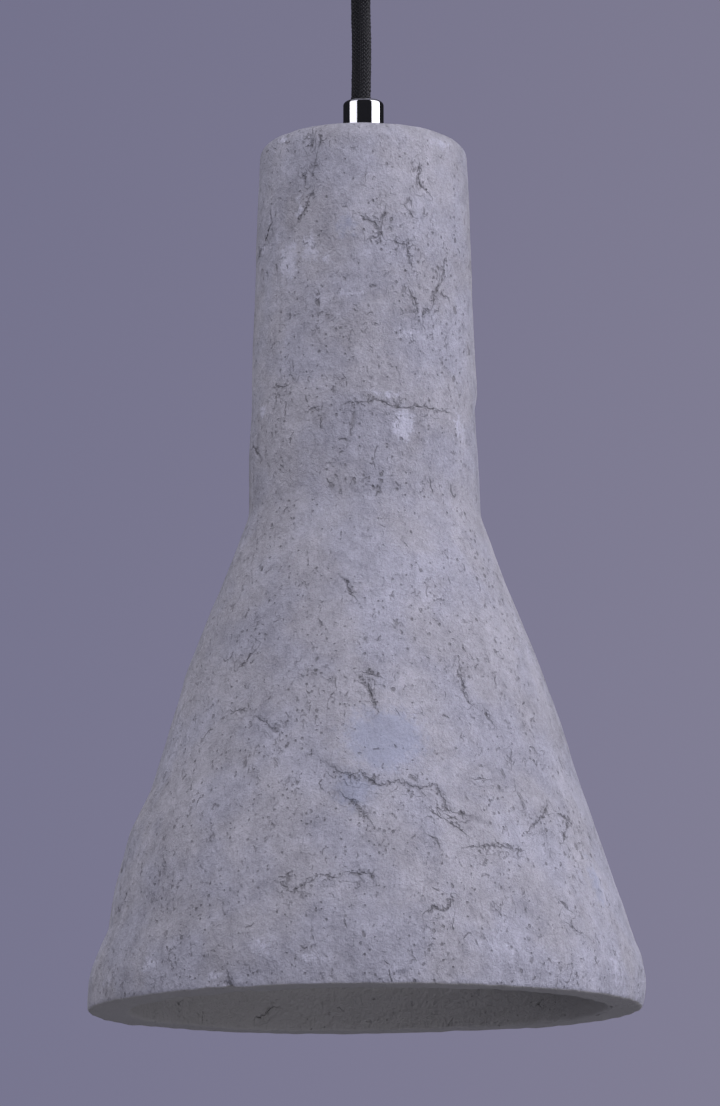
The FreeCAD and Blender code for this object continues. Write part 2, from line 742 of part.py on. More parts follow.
def make_holder_cap():
    tall = d["holder_cap_height"]
    bore = d["thread_radius"] + d["thread_clearance"]
    inner = d["holder_radius"] - d["holder_wall"]
    neck_foot = tall - d["nipple_into_holder"]
    wall_slant = 1.5
    side_height = 12
    cap = turned("holder_cap_turned", [
        (inner, 0),
        (d["holder_radius"], 0),
        (d["holder_radius"], side_height),
        (d["holder_neck_radius"] + wall_slant, neck_foot),
        (d["holder_neck_radius"], tall),
        (bore, tall),
        (bore, neck_foot - wall_slant),
        (inner, side_height - wall_slant),
    ])
    edge_radius = 3
    dressed(cap, "Fillet", "Radius", edge_radius, [(d["holder_radius"], side_height)])
    place(cap, (0, 0, HOLDER_CAP_FOOT))
    level = HOLDER_CAP_FOOT + tall - 3.5
    screw_radius = 1.25
    screw_length = 3.6
    earth_way_radius = 1.5
    hole = cylinder("holder_cap_tapping", screw_radius + TAP_CLEARANCE, side_height, (0, 0, level), ALONG_Y)
    earth_way = cylinder("holder_cap_earth_way", earth_way_radius, tall,
                         (0, -EARTH_WAY_OFFSET, HOLDER_CAP_FOOT + side_height / 3))
    keep("holder_cap", cut("holder_cap", cap, [hole, earth_way]))
    shank = cylinder("holder_lock_shank", screw_radius, screw_length,
                     (0, d["thread_radius"] + 0.02, level), ALONG_Y)
    slot_width = 0.6
    slot = box("holder_lock_slot", screw_length, 1.6, slot_width,
               (0, d["thread_radius"] + screw_length, level - slot_width / 2))
    keep("holder_lock_screw", cut("holder_lock_screw", shank, [slot]))


def make_holder_skirt():
    spigot = d["holder_radius"] - d["holder_wall"] - 0.1
    spigot_top = d["skirt_length"] + d["skirt_spigot"]
    outline = [(d["skirt_bore"], 0), (d["holder_radius"], 0)]
    groove_pitch = 2.4
    groove_depth = 0.45
    groove_flank = 0.4
    groove_width = 1.4
    first = d["skirt_length"] - groove_pitch * (SKIRT_RIBS + 0.8)
    for rib in range(SKIRT_RIBS):
        foot = first + groove_pitch * rib
        outline.append((d["holder_radius"], foot))
        outline.append((d["holder_radius"] - groove_depth, foot + groove_flank))
        outline.append((d["holder_radius"] - groove_depth, foot + groove_width - groove_flank))
        outline.append((d["holder_radius"], foot + groove_width))
    outline += [
        (d["holder_radius"], d["skirt_length"]),
        (spigot, d["skirt_length"]),
        (spigot, spigot_top),
        (d["skirt_bore"], spigot_top),
    ]
    skirt = turned("holder_skirt", outline)
    edge_radius = 1.2
    dressed(skirt, "Fillet", "Radius", edge_radius, [(d["holder_radius"], 0)])
    keep("holder_skirt", place(skirt, (0, 0, SKIRT_MOUTH)))


def make_holder_insulator():
    bevel_width = 2.5
    bevel_height = 3
    insulator = turned("insulator_turned", [
        (0, 0),
        (d["insulator_radius"], 0),
        (d["insulator_radius"], d["insulator_height"] - bevel_height),
        (d["insulator_radius"] - bevel_width, d["insulator_height"]),
        (0, d["insulator_height"]),
    ])
    place(insulator, (0, 0, INSULATOR_FOOT))
    well_depth = 6
    well_radius = 2.0
    head_radius = 1.9
    head_height = 3.0
    slot_width = 0.7
    slot_depth = 0.7
    foot = INSULATOR_FOOT + d["insulator_height"] - well_depth
    wells = []
    screws = []
    for side in (-1, 1):
        x = d["holder_screw_offset"] * side
        wells.append(cylinder(f"insulator_well_{side + 1}", well_radius, well_depth + 2, (x, 0, foot)))
        head = cylinder(f"holder_screw_blank_{side + 1}", head_radius, head_height, (x, 0, foot))
        slot = box(f"holder_screw_slot_{side + 1}", 5, slot_width, slot_depth * 2,
                   (x, 0, foot + head_height - slot_depth))
        screws.append(cut(f"holder_screw_{side + 1}", head, [slot]))
    keep("holder_insulator", cut("holder_insulator", insulator, wells))
    keep("holder_terminal_screws", group("holder_terminal_screws", screws))


def make_holder_contacts():
    """The screw shell below the insulator and the folded tongue that the lamp's tip presses on."""
    shell_foot = INSULATOR_FOOT - 0.1 - d["shell_length"]
    shell = turned("holder_screw_shell", [
        (d["shell_bore"], 0),
        (d["shell_radius"], 0),
        (d["shell_radius"], d["shell_length"]),
        (d["shell_bore"], d["shell_length"]),
    ])
    keep("holder_screw_shell", place(shell, (0, 0, shell_foot)))
    width = 4.5
    thick = d["contact_thickness"]
    strip_foot = INSULATOR_FOOT - thick
    tongue_foot = LAMP_TIP + 0.1
    strip = box("contact_strip", 12, width, thick, (2, 0, strip_foot))
    tongue = box("contact_tongue", 6, width, thick, (0, 0, tongue_foot))
    bridge = box("contact_bridge", thick, width, INSULATOR_FOOT - tongue_foot, (-2.8, 0, tongue_foot))
    foot = box("contact_foot", 2, width, thick, (-3.6, 0, strip_foot))
    keep("holder_centre_contact", fused("holder_centre_contact", [strip, foot, tongue, bridge]))


def make_cup_conductors():
    """Insulated cores from the cord's upper end to the terminal block and the earth tag."""
    radius = 1.0
    bend = 3.0
    core = 1.45
    top = CUP_FLOOR + d["cup_stub_length"] + d["cord_spare"]
    wire_level = -d["plate_thickness"] - d["block_height"] / 2
    sleeve_edge = d["block_offset"] - d["sleeve_length"] / 2
    for name, side in (("live", -1), ("neutral", 1)):
        wire_piece(f"cup_conductor_{name}", radius, bend, [
            (core * side, 0.8, top),
            (core * side, 0.8, wire_level),
            (d["pole_pitch"] * side, 11.0, wire_level),
            (d["pole_pitch"] * side, sleeve_edge + 3, wire_level),
        ])
    tag_end = -d["earth_screw_offset"] + 11
    wire_piece("cup_conductor_earth", radius, bend, [
        (0, -1.7, top),
        (0, -1.7, -8),
        (0, -9.0, -3.6),
        (0, tag_end, -3.4),
    ])


def make_holder_conductors():
    """Insulated cores from the cord's lower end to the holder's terminals and the earth tag."""
    radius = 0.9
    core = 1.45
    cord_foot = NIPPLE_FOOT - CORD_BELOW_NIPPLE
    top = INSULATOR_FOOT + d["insulator_height"]
    screw = d["holder_screw_offset"]
    for name, side in (("live", -1), ("neutral", 1)):
        wire_piece(f"holder_conductor_{name}", radius, 1.6, [
            (core * side, 0, cord_foot),
            (core * side, 0, cord_foot - 2.4),
            (screw * side, 0, top + 1.5),
            (screw * side, 0, top - 2.9),
        ])
    wire_piece("holder_conductor_earth", radius, 2.0, [
        (0, -1.8, cord_foot),
        (0, -1.8, cord_foot - 2.6),
        (0, -EARTH_WAY_OFFSET, cord_foot - 4.4),
        (0, -EARTH_WAY_OFFSET, EARTH_TAG_FOOT - 0.05),
    ])


# ---------------------------------------------------------------- lamp


def make_lamp_cap():
    """The lamp's tip contact, its glass seat and its rolled screw cap."""
    tip_height = 1.6
    tip_radius = 5.0
    tip_edge = 4.6
    tip_top = 3.2
    tip = turned("bulb_centre_contact", [
        (0, 0),
        (tip_radius, 0),
        (tip_edge, tip_height * 0.6),
        (tip_top, tip_height),
        (0, tip_height),
    ])
    keep("bulb_centre_contact", place(tip, (0, 0, LAMP_TIP - tip_height)))
    seat_height = 4.0
    seat_top = 5.6
    seat_lip = 0.6
    seat_foot = LAMP_TIP - tip_height - 0.3 - seat_height
    seat = turned("bulb_insulator", [
        (0, 0),
        (d["lamp_thread_root"] - 0.6, 0),
        (d["lamp_thread_root"] - 0.9, seat_lip),
        (seat_top, seat_height),
        (0, seat_height),
    ])
    keep("bulb_insulator", place(seat, (0, 0, seat_foot)))
    cap_top = seat_foot - LAMP_CAP_FOOT
    wall = 0.45
    crest_half = 0.4
    flank_foot = 1.6
    first = 2.9
    inside = d["lamp_thread_root"] - wall
    outline = [(inside, 0), (d["lamp_thread_root"] + 0.2, 0)]
    for turn in range(LAMP_THREAD_TURNS):
        crest = d["lamp_thread_pitch"] * turn + first
        outline.append((d["lamp_thread_root"], crest - flank_foot))
        outline.append((d["lamp_thread_radius"], crest - crest_half))
        outline.append((d["lamp_thread_radius"], crest + crest_half))
        outline.append((d["lamp_thread_root"], crest + flank_foot))
    outline.append((d["lamp_thread_root"], cap_top))
    outline.append((inside, cap_top))
    keep("bulb_screw_cap", place(turned("bulb_screw_cap", outline), (0, 0, LAMP_CAP_FOOT)))


def make_lamp_body():
    """The lamp's collar, opal globe and the board with its light-emitting chips."""
    top = LAMP_CAP_FOOT - COLLAR_FOOT
    wall = 1.8
    lip = 2.0
    neck_bore = d["lamp_thread_root"] - 1.0
    collar = turned("bulb_collar", [
        (d["lamp_collar_radius"] - wall, 0),
        (d["lamp_collar_radius"], 0),
        (d["lamp_collar_radius"] - 0.6, lip),
        (d["lamp_thread_root"] + 1.4, top),
        (neck_bore, top),
        (neck_bore, top - lip),
        (d["lamp_collar_radius"] - wall - 0.4, lip),
    ])
    keep("bulb_collar", place(collar, (0, 0, COLLAR_FOOT)))
    seam = math.degrees(math.asin((COLLAR_FOOT - GLOBE_CENTRE).value / d["lamp_globe_radius"].value))
    outer = doc.addObject("Part::Sphere", "globe_outer")
    bind(outer, "Radius", d["lamp_globe_radius"])
    outer.Angle2 = seam
    inner = doc.addObject("Part::Sphere", "globe_inner")
    bind(inner, "Radius", d["lamp_globe_radius"] - d["globe_wall"])
    keep("bulb_diffuser", place(cut("bulb_diffuser", outer, [inner]), (0, 0, GLOBE_CENTRE)))
    board_radius = 15.5
    board_height = 1.4
    board_foot = COLLAR_FOOT - board_height - 0.2
    keep("bulb_led_board", cylinder("bulb_led_board", board_radius, board_height, (0, 0, board_foot)))
    chip_ring = 10.5
    chip_side = 2.8
    chip_height = 0.7
    chips = []
    for index in range(LED_CHIPS):
        angle = 2 * math.pi * index / LED_CHIPS
        at = (chip_ring * math.cos(angle), chip_ring * math.sin(angle), board_foot - chip_height)
        chips.append(box(f"led_{index}", chip_side, chip_side, chip_height, at))
    keep("bulb_leds", group("bulb_leds", chips))


# ---------------------------------------------------------------- build, check and write

for make in (
    make_ceiling_plate,
    make_cup,
    make_side_screws,
    make_terminal_block,
    make_block_screws,
    make_plate_earth,
    make_cup_grip,
    make_cord,
    make_shade_grip,
    make_shade,
    make_hardware,
    make_holder_cap,
    make_holder_skirt,
    make_holder_insulator,
    make_holder_contacts,
    make_cup_conductors,
    make_holder_conductors,
    make_lamp_cap,
    make_lamp_body,
):
    make()

doc.recompute()
broken = [o.Name for o in doc.Objects if {"Invalid", "Error"} & set(o.State)]
empty = [label for label, item in pieces.items() if item.Shape.isNull() or not item.Shape.isValid()]
if broken or empty:
    raise RuntimeError(f"failed objects {broken}, bad shapes {empty}")

os.makedirs("parts", exist_ok=True)
for label, item in pieces.items():
    item.Shape.exportStep(f"parts/{label}.step")
    print(f"{label}: {len(item.Shape.Solids)} solid(s), {item.Shape.Volume:.1f} mm3")
for label, level in (("rim", SHADE_RIM), ("lamp tip", LAMP_TIP), ("lamp foot", LAMP_BOTTOM)):
    print(f"{label} level {level.value:.1f} mm")
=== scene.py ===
"""Pendant ceiling light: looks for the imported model.

A hand-cast concrete shade, a short black braided cord and a polished chrome cord grip, in a plain softly lit
studio. Lengths are in metres, and the shade is worked out in mm. Heights on it are measured up from its rim,
azimuths from the camera's side (-Y) towards +X, in degrees.
"""
import math

import bpy
import numpy as np
from mathutils import Matrix, Vector, kdtree


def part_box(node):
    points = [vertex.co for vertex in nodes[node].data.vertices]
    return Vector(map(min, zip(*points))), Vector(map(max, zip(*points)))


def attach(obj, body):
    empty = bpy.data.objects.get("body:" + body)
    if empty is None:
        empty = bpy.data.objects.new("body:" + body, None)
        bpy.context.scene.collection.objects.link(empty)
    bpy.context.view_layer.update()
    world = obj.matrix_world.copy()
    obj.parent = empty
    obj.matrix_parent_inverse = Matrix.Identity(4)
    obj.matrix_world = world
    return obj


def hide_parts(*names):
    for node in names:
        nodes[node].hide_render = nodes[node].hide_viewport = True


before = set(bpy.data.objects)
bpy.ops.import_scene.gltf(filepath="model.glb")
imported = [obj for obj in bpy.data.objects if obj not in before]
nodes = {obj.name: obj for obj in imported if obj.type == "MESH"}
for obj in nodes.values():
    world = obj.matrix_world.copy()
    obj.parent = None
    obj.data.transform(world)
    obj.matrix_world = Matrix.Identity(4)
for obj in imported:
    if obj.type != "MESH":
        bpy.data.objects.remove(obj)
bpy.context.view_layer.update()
scene = bpy.context.scene

MM = 0.001
RIM_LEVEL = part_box("concrete_shade")[0].z

# ---------------------------------------------------------------- camera

CAMERA_PLACE = Vector((-0.0015, -1.7, RIM_LEVEL - 0.1545))
CAMERA_PITCH = math.radians(10.48)
CAMERA_ROLL = math.radians(-0.1)
CAMERA_LENS = 160.8


def add_camera():
    data = bpy.data.cameras.new("camera")
    data.lens = CAMERA_LENS
    data.sensor_width = 36.0
    camera = bpy.data.objects.new("camera", data)
    scene.collection.objects.link(camera)
    camera.matrix_world = (
        Matrix.Translation(CAMERA_PLACE)
        @ Matrix.Rotation(math.radians(90) + CAMERA_PITCH, 4, "X")
        @ Matrix.Rotation(CAMERA_ROLL, 4, "Z")
    )
    scene.camera = camera


add_camera()


# ---------------------------------------------------------------- shader graphs


class Graph:
    """A node graph, built with function calls. A material's coordinates are the piece's own, in metres."""

    def __init__(self, name, kind="materials", coordinates="Object"):
        self.owner = getattr(bpy.data, kind).new(name)
        self.owner.use_nodes = True
        self.tree = self.owner.node_tree
        self.tree.nodes.clear()
        self.place = self.make("ShaderNodeTexCoord").outputs[coordinates]

    def make(self, kind, inputs=None, **settings):
        node = self.tree.nodes.new(kind)
        for key, value in settings.items():
            setattr(node, key, value)
        for key, value in (inputs or {}).items():
            self.feed(node.inputs[key], value)
        return node

    def feed(self, socket, value):
        if isinstance(value, bpy.types.NodeSocket):
            self.tree.links.new(value, socket)
        elif socket.type == "RGBA" and len(value) == 3:
            socket.default_value = (*value, 1.0)
        else:
            socket.default_value = value

    def math(self, operation, a, b=0.0, clamp=False):
        return self.make("ShaderNodeMath", {0: a, 1: b}, operation=operation, use_clamp=clamp).outputs[0]

    def total(self, *values):
        result = values[0]
        for value in values[1:]:
            result = self.math("ADD", result, value)
        return result

    def times(self, *values):
        result = values[0]
        for value in values[1:]:
            result = self.math("MULTIPLY", result, value)
        return result

    def ramp(self, value, low, high, to_high=1.0):
        """A straight rise from 0, level outside the span."""
        return self.make("ShaderNodeMapRange", {
            "Value": value, "From Min": low, "From Max": high, "To Min": 0.0, "To Max": to_high,
        }).outputs["Result"]

    def span(self, value, low, high, to_low=0.0, to_high=1.0):
        return self.make("ShaderNodeMapRange", {
            "Value": value, "From Min": low, "From Max": high, "To Min": to_low, "To Max": to_high,
        }, interpolation_type="SMOOTHSTEP").outputs["Result"]

    def mix(self, share, a, b, blend="MIX"):
        node = self.make("ShaderNodeMix", data_type="RGBA", blend_type=blend)
        self.feed(node.inputs[0], share)
        self.feed(node.inputs[6], a)
        self.feed(node.inputs[7], b)
        return node.outputs[2]

    def scaled(self, factors, place=None):
        return self.make("ShaderNodeVectorMath", {0: place or self.place, 1: factors},
                         operation="MULTIPLY").outputs[0]

    def noise(self, size, detail=3.0, roughness=0.5, place=None, output="Fac"):
        """Noise with features of about that size in metres."""
        return self.make("ShaderNodeTexNoise", {
            "Vector": place or self.place, "Scale": 1.0 / size, "Detail": detail, "Roughness": roughness,
        }).outputs[output]

    def ripple(self, size, detail=3.0, roughness=0.5, place=None):
        """Noise centred on 0."""
        return self.math("SUBTRACT", self.noise(size, detail, roughness, place), 0.5)

    def shifted(self, amount, size, place=None):
        """The place, moved about by noise of that size, so that what is drawn there gets ragged."""
        colour = self.noise(size, 2.0, place=place, output="Color")
        centred = self.make("ShaderNodeVectorMath", {0: colour, 1: (0.5, 0.5, 0.5)},
                            operation="SUBTRACT").outputs[0]
        return self.make("ShaderNodeVectorMath", {0: centred, 1: (amount,) * 3, 2: place or self.place},
                         operation="MULTIPLY_ADD").outputs[0]

    def moved(self, amount, place=None):
        """The place, carried far off, so that the same noise gives another pattern."""
        return self.make("ShaderNodeVectorMath", {0: place or self.place, 1: (amount,) * 3},
                         operation="ADD").outputs[0]

    def attribute(self, name):
        """The three values of a point attribute."""
        source = self.make("ShaderNodeAttribute", attribute_name=name).outputs["Vector"]
        return self.make("ShaderNodeSeparateXYZ", {0: source}).outputs

    def pits(self, cell, share, largest, soft, cluster, place):
        """Round holes, 1 inside and 0 outside: in a share of the cells, up to a largest radius in cells."""
        cells = self.make("ShaderNodeTexVoronoi", {"Vector": place, "Scale": 1.0 / cell, "Randomness": 1.0})
        chance = self.make("ShaderNodeSeparateColor", {0: cells.outputs["Color"]}).outputs[0]
        radius = self.ramp(self.math("ADD", chance, cluster), 1.0 - share, 1.0, largest)
        inside = self.math("SUBTRACT", radius, cells.outputs["Distance"])
        return self.math("DIVIDE", inside, soft, clamp=True)

    def strokes(self, size, half_width, gate_size, gate, place):
        """Short curved lines: level lines of noise of one size, only where coarser noise is over the gate."""
        off = self.math("ABSOLUTE", self.ripple(size, 1.0, 0.5, place))
        line = self.span(off, 0.0, 0.55 * half_width / size, 1.0, 0.0)
        over = self.math("SUBTRACT", self.noise(gate_size, 2.0, 0.6, place=self.moved(0.37, place)), gate)
        return self.times(line, self.span(over, 0.0, 0.06))

    def bump(self, height, distance):
        inputs = {"Height": height, "Distance": distance, "Strength": 1.0}
        return self.make("ShaderNodeBump", inputs).outputs[0]

    def finish(self, colour, roughness, normal, **sockets):
        inputs = {"Base Color": colour, "Roughness": roughness, "Normal": normal}
        for key, value in sockets.items():
            inputs[key.replace("_", " ")] = value
        shader = self.make("ShaderNodeBsdfPrincipled", inputs)
        self.make("ShaderNodeOutputMaterial", {"Surface": shader.outputs[0]})
        return self.owner


def dress(material, *names):
    """Gives CAD nodes a material."""
    for name in names:
        mesh = nodes[name].data
        mesh.materials.clear()
        mesh.materials.append(material)


# ---------------------------------------------------------------- mesh helpers


def new_piece(name, points, faces, material, body):
    mesh = bpy.data.meshes.new(name)
    mesh.from_pydata(points, [], faces)
    mesh.polygons.foreach_set("use_smooth", [True] * len(mesh.polygons))
    mesh.materials.append(material)
    piece = bpy.data.objects.new(name, mesh)
    scene.collection.objects.link(piece)
    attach(piece, body)
    return piece


def lattice_noise(points, size, seed):
    """Smooth noise between about -1 and 1 at an array of points, with features of that size."""
    rng = np.random.default_rng(seed)
    count = 1024
    table = rng.permutation(count)
    slopes = rng.normal(size=(count, 3))
    slopes /= np.linalg.norm(slopes, axis=1)[:, None]
    spot = points / size
    base = np.floor(spot).astype(np.int64)
    part = spot - base
    fade = part ** 3 * (part * (part * 6 - 15) + 10)
    result = np.zeros(len(points))
    for corner in np.ndindex(2, 2, 2):
        node = base + corner
        pick = table[(node[:, 2]) % count]
        pick = table[(node[:, 1] + pick) % count]
        pick = table[(node[:, 0] + pick) % count]
        rise = np.einsum("ij,ij->i", slopes[pick], part - corner)
        weight = np.prod(np.where(corner, fade, 1 - fade), axis=1)
        result += rise * weight
    return result * 1.6


def rounded_outline(corners):
    """A line through (radius, height, fillet) corners, with each fillet drawn as an arc of short steps."""
    line = [np.array(corners[0][:2], float)]
    for before, corner, after in zip(corners, corners[1:], corners[2:]):
        tip = np.array(corner[:2], float)
        back = np.array(before[:2], float) - tip
        ahead = np.array(after[:2], float) - tip
        back /= np.linalg.norm(back)
        ahead /= np.linalg.norm(ahead)
        fillet = corner[2]
        half = math.acos(max(-1.0, min(1.0, float(back @ ahead)))) / 2
        if fillet <= 0 or half > math.radians(89.5):
            line.append(tip)
            continue
        reach = fillet / math.tan(half)
        middle = tip + (back + ahead) / np.linalg.norm(back + ahead) * fillet / math.sin(half)
        first = tip + back * reach - middle
        last = tip + ahead * reach - middle
        turn = math.atan2(first[0] * last[1] - first[1] * last[0], float(first @ last))
        steps = max(3, int(abs(turn) / math.radians(5)))
        for step in range(steps + 1):
            angle = turn * step / steps
            spin = np.array([[math.cos(angle), -math.sin(angle)], [math.sin(angle), math.cos(angle)]])
            line.append(middle + spin @ first)
    line.append(np.array(corners[-1][:2], float))
    return np.array(line)


def resampled(line, spacing):
    """The line's points, about evenly spaced."""
    lengths = np.linalg.norm(np.diff(line, axis=0), axis=1)
    along = np.concatenate([[0.0], np.cumsum(lengths)])
    count = max(2, int(round(along[-1] / spacing)))
    wanted = np.linspace(0.0, along[-1], count + 1)
    return np.stack([np.interp(wanted, along, line[:, i]) for i in range(2)], axis=1)


# ---------------------------------------------------------------- cord

CORD_RADIUS = 3.4 * MM
CORD_ROUTE = [
    (-0.0008, 0.0, -0.0400),
    (-0.0010, 0.0, -0.0510),
    (-0.0006, 0.0, -0.0640),
    (-0.0007, 0.0, -0.0770),
    (-0.0010, 0.0, -0.0880),
]

# the braid: so many strands each way, waving in and out by the swing about the braid's own radius
STRANDS = 14
STRAND_SLANT = math.radians(45)
STRAND_COVER = 0.84
STRAND_HALF_THICK = 0.24 * MM
STRAND_CORNERS = 8
STRAND_LOOSE = 0.015 * MM
BRAID_RADIUS = CORD_RADIUS - 0.30 * MM
BRAID_SWING = 0.18 * MM
BRAID_STEP = 0.25 * MM
BRAID_CELL = 2 * math.pi / STRANDS
BRAID_WINDING = math.tan(STRAND_SLANT) / BRAID_RADIUS
CORE_RADIUS = CORD_RADIUS - 0.60 * MM
CORE_CORNERS = 24
CORE_STRIDE = 6
FIBRES = 150
FIBRE_HALF_THICK = 0.011 * MM
FIBRE_MARGIN = 6


def smooth_route(points):
    """The line of a NURBS spline with these control points."""
    data = bpy.data.curves.new("route", "CURVE")
    data.dimensions = "3D"
    spline = data.splines.new("NURBS")
    spline.points.add(len(points) - 1)
    for point, place in zip(spline.points, points):
        point.co = (*place, 1.0)
    spline.order_u = 3
    spline.use_endpoint_u = True
    spline.resolution_u = 40
    carrier = bpy.data.objects.new("route", data)
    scene.collection.objects.link(carrier)
    mesh = bpy.data.meshes.new_from_object(carrier)
    line = [vertex.co.copy() for vertex in mesh.vertices]
    bpy.data.objects.remove(carrier)
    bpy.data.meshes.remove(mesh)
    bpy.data.curves.remove(data)
    return line


def cord_material():
    graph = Graph("cord_textile")
    yarn = graph.noise(0.10 * MM, 2.0, 0.7, place=graph.scaled((1, 1, 0.35)))
    dust = graph.noise(2.0 * MM, 4.0)
    colour = graph.mix(yarn, (0.001, 0.001, 0.002), (0.010, 0.010, 0.014))
    colour = graph.mix(graph.span(dust, 0.52, 0.75, 0, 0.3), colour, (0.030, 0.029, 0.036))
    normal = graph.bump(yarn, 0.00004)
    return graph.finish(colour, 0.26, normal, Specular_IOR_Level=0.6)


class Tubes:
    """Tubes with closed ends, gathered as the points and faces of one mesh."""

    def __init__(self):
        self.points = []
        self.faces = []

    def add(self, rings):
        start = len(self.points)
        size = len(rings[0])
        for ring in rings:
            self.points.extend(ring)
        for i in range(len(rings) - 1):
            for j in range(size):
                k = (j + 1) % size
                a = start + i * size
                b = a + size
                self.faces.append((a + j, a + k, b + k, b + j))
        self.faces.append(tuple(start + j for j in reversed(range(size))))
        last = start + (len(rings) - 1) * size
        self.faces.append(tuple(last + j for j in range(size)))


def directions(turn):
    """Outwards and sideways, at an angle round the cord."""
    out = np.array([math.cos(turn), math.sin(turn), 0.0])
    side = np.array([-math.sin(turn), math.cos(turn), 0.0])
    return out, side


def strand_rings(strand, way, stations, places, rng):
    """One strand, which winds round the cord, over and under those that wind the other way."""
    half_width = 0.5 * BRAID_CELL * BRAID_RADIUS * math.cos(STRAND_SLANT) * STRAND_COVER
    section = []
    for corner in range(STRAND_CORNERS):
        angle = 2 * math.pi * corner / STRAND_CORNERS
        section.append((half_width * math.cos(angle), STRAND_HALF_THICK * math.sin(angle)))
    loose = rng.normal(0.0, STRAND_LOOSE)
    slack = rng.uniform(0.02, 0.09) * MM
    wavelength = rng.uniform(4.0, 9.0) * MM
    phase = rng.uniform(0, 2 * math.pi)
    rings = []
    for station, place in zip(stations, places):
        out, side = directions(strand * BRAID_CELL + way * BRAID_WINDING * station)
        crossing = 2 * BRAID_WINDING * station / BRAID_CELL
        radius = BRAID_RADIUS + loose + way * BRAID_SWING * math.cos(math.pi * crossing)
        radius += slack * math.sin(2 * math.pi * station / wavelength + phase)
        across = side * math.cos(STRAND_SLANT) + np.array([0.0, 0.0, way * math.sin(STRAND_SLANT)])
        centre = place + out * radius
        rings.append([tuple(centre + across * x + out * y) for x, y in section])
    return rings


def core_rings(places):
    """The dark core that fills the gaps between the strands."""
    around = np.arange(CORE_CORNERS) * 2 * math.pi / CORE_CORNERS
    ring_out = np.stack([np.cos(around), np.sin(around), np.zeros(CORE_CORNERS)], axis=1)
    return [[tuple(place + out * CORE_RADIUS) for out in ring_out] for place in places[::CORE_STRIDE]]


def fibre_rings(places, rng):
    """One stray fibre, three-cornered and tapered, which starts just under the surface and bends over."""
    place = places[rng.integers(FIBRE_MARGIN, len(places) - FIBRE_MARGIN)]
    out, side = directions(rng.uniform(0, 2 * math.pi))
    lean = rng.normal(0, 1, 3)
    reach = rng.uniform(0.3, 1.0) * MM
    root = place + out * (CORD_RADIUS - 0.1 * MM)
    rings = []
    for share in (0.0, 0.35, 0.7, 1.0):
        leaning = side * lean[0] + Vector((0, 0, 1)) * lean[2]
        spine = root + (out * reach * share + leaning * reach * 0.5 * share ** 2)
        ring = []
        for angle in (0.0, 2.1, 4.2):
            edge = side * math.cos(angle) + np.array([0, 0, math.sin(angle)])
            ring.append(tuple(spine + edge * FIBRE_HALF_THICK * (1.1 - share)))
        rings.append(ring)
    return rings


def make_cord():
    """A sleeve braided from two sets of strands that wind opposite ways, over a dark core, with fibres."""
    path = smooth_route(CORD_ROUTE)
    axis = np.array(path)
    lengths = np.linalg.norm(np.diff(axis, axis=0), axis=1)
    along = np.concatenate([[0.0], np.cumsum(lengths)])
    stations = np.linspace(0.0, along[-1], int(along[-1] / BRAID_STEP) + 1)
    places = np.stack([np.interp(stations, along, axis[:, i]) for i in range(3)], axis=1)
    rng = np.random.default_rng(11)
    tubes = Tubes()
    for way in (1, -1):
        for strand in range(STRANDS):
            tubes.add(strand_rings(strand, way, stations, places, rng))
    tubes.add(core_rings(places))
    for _ in range(FIBRES):
        tubes.add(fibre_rings(places, rng))
    cord = new_piece("braided_cord", tubes.points, tubes.faces, cord_material(), "cord_upper")
    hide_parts("cord_upper", "cord_lower")


make_cord()


# ---------------------------------------------------------------- shade

# the shade's outline as (radius, height, fillet) in mm, down the outside and over the rim, then up the inside
SHADE_CORNERS = [
    (5.4, 307.0, 0.0),
    (36.6, 307.0, 6.0),
    (41.0, 172.5, 12.0),
    (60.1, 119.8, 0.0),
    (78.3, 66.8, 0.0),
    (95.6, 13.5, 30.0),
    (94.9, 0.0, 0.6),
    (82.5, 0.0, 0.8),
    (81.0, 7.0, 0.0),
]
SHADE_INSIDE = [
    (81.0, 7.0, 0.0),
    (29.6, 180.0, 8.0),
    (26.5, 292.0, 8.0),
    (5.4, 292.0, 0.0),
    (5.4, 307.0, 0.0),
]
OUTSIDE_STEP = 0.68
INSIDE_STEP = 4.0
COLUMNS = 560
TRIANGLES = 190000

# the side is farther out than the flat top, and the rim's inner lip lies within a radius and a height, in mm
TOP_RADIUS = 30.0
NECK_RADIUS = 36.0
LIP_RADIUS = 84.0
LIP_HEIGHT = 8.0
RIM_HEIGHT = 0.6

# the inside lies off the outside's middle: (height, shift towards +X) in mm
INSIDE_SHIFT = [(0, 1.1), (150, 0.6), (180, 0.0)]

# layers of noise, as (amount, size) in mm: for the whole casting, for drawn edges that stray, and for the rim
UNEVENNESS = [(0.45, 48.0), (0.22, 19.0), (0.09, 7.5), (0.06, 3.0)]
RAGGEDNESS = [(0.35, 1.6), (0.6, 4.0)]
RIM_BUMPS = [(0.35, 30.0), (0.25, 6.0)]
RIM_TILT = 0.6
RIM_FADE = 25.0

# how far the shade stands out of its round, as (height, left, right) in mm
CAST_SIDES = [
    (0, 0.4, 0.3),
    (3.5, 0.2, 1.1),
    (7, -0.2, 1.4),
    (10.5, -0.6, 1.2),
    (14, -1.1, 0.7),
    (17.5, -1.7, 0.8),
    (23, -2.1, 0.35),
    (28, -2.7, 0.3),
    (36, -1.1, 0.65),
    (42, -0.2, 0.5),
    (60, 0.8, 0.3),
    (76, -1.1, 0.2),
    (98, -0.1, 0.8),
    (115, 0.9, 0.5),
    (132, 0.3, 0.0),
    (150, -0.3, -0.3),
    (175, -0.7, 0.0),
    (194, 0.1, -0.2),
    (211, -0.2, -0.9),
    (216, 0.0, 0.0),
    (307, 0.0, 0.0),
]

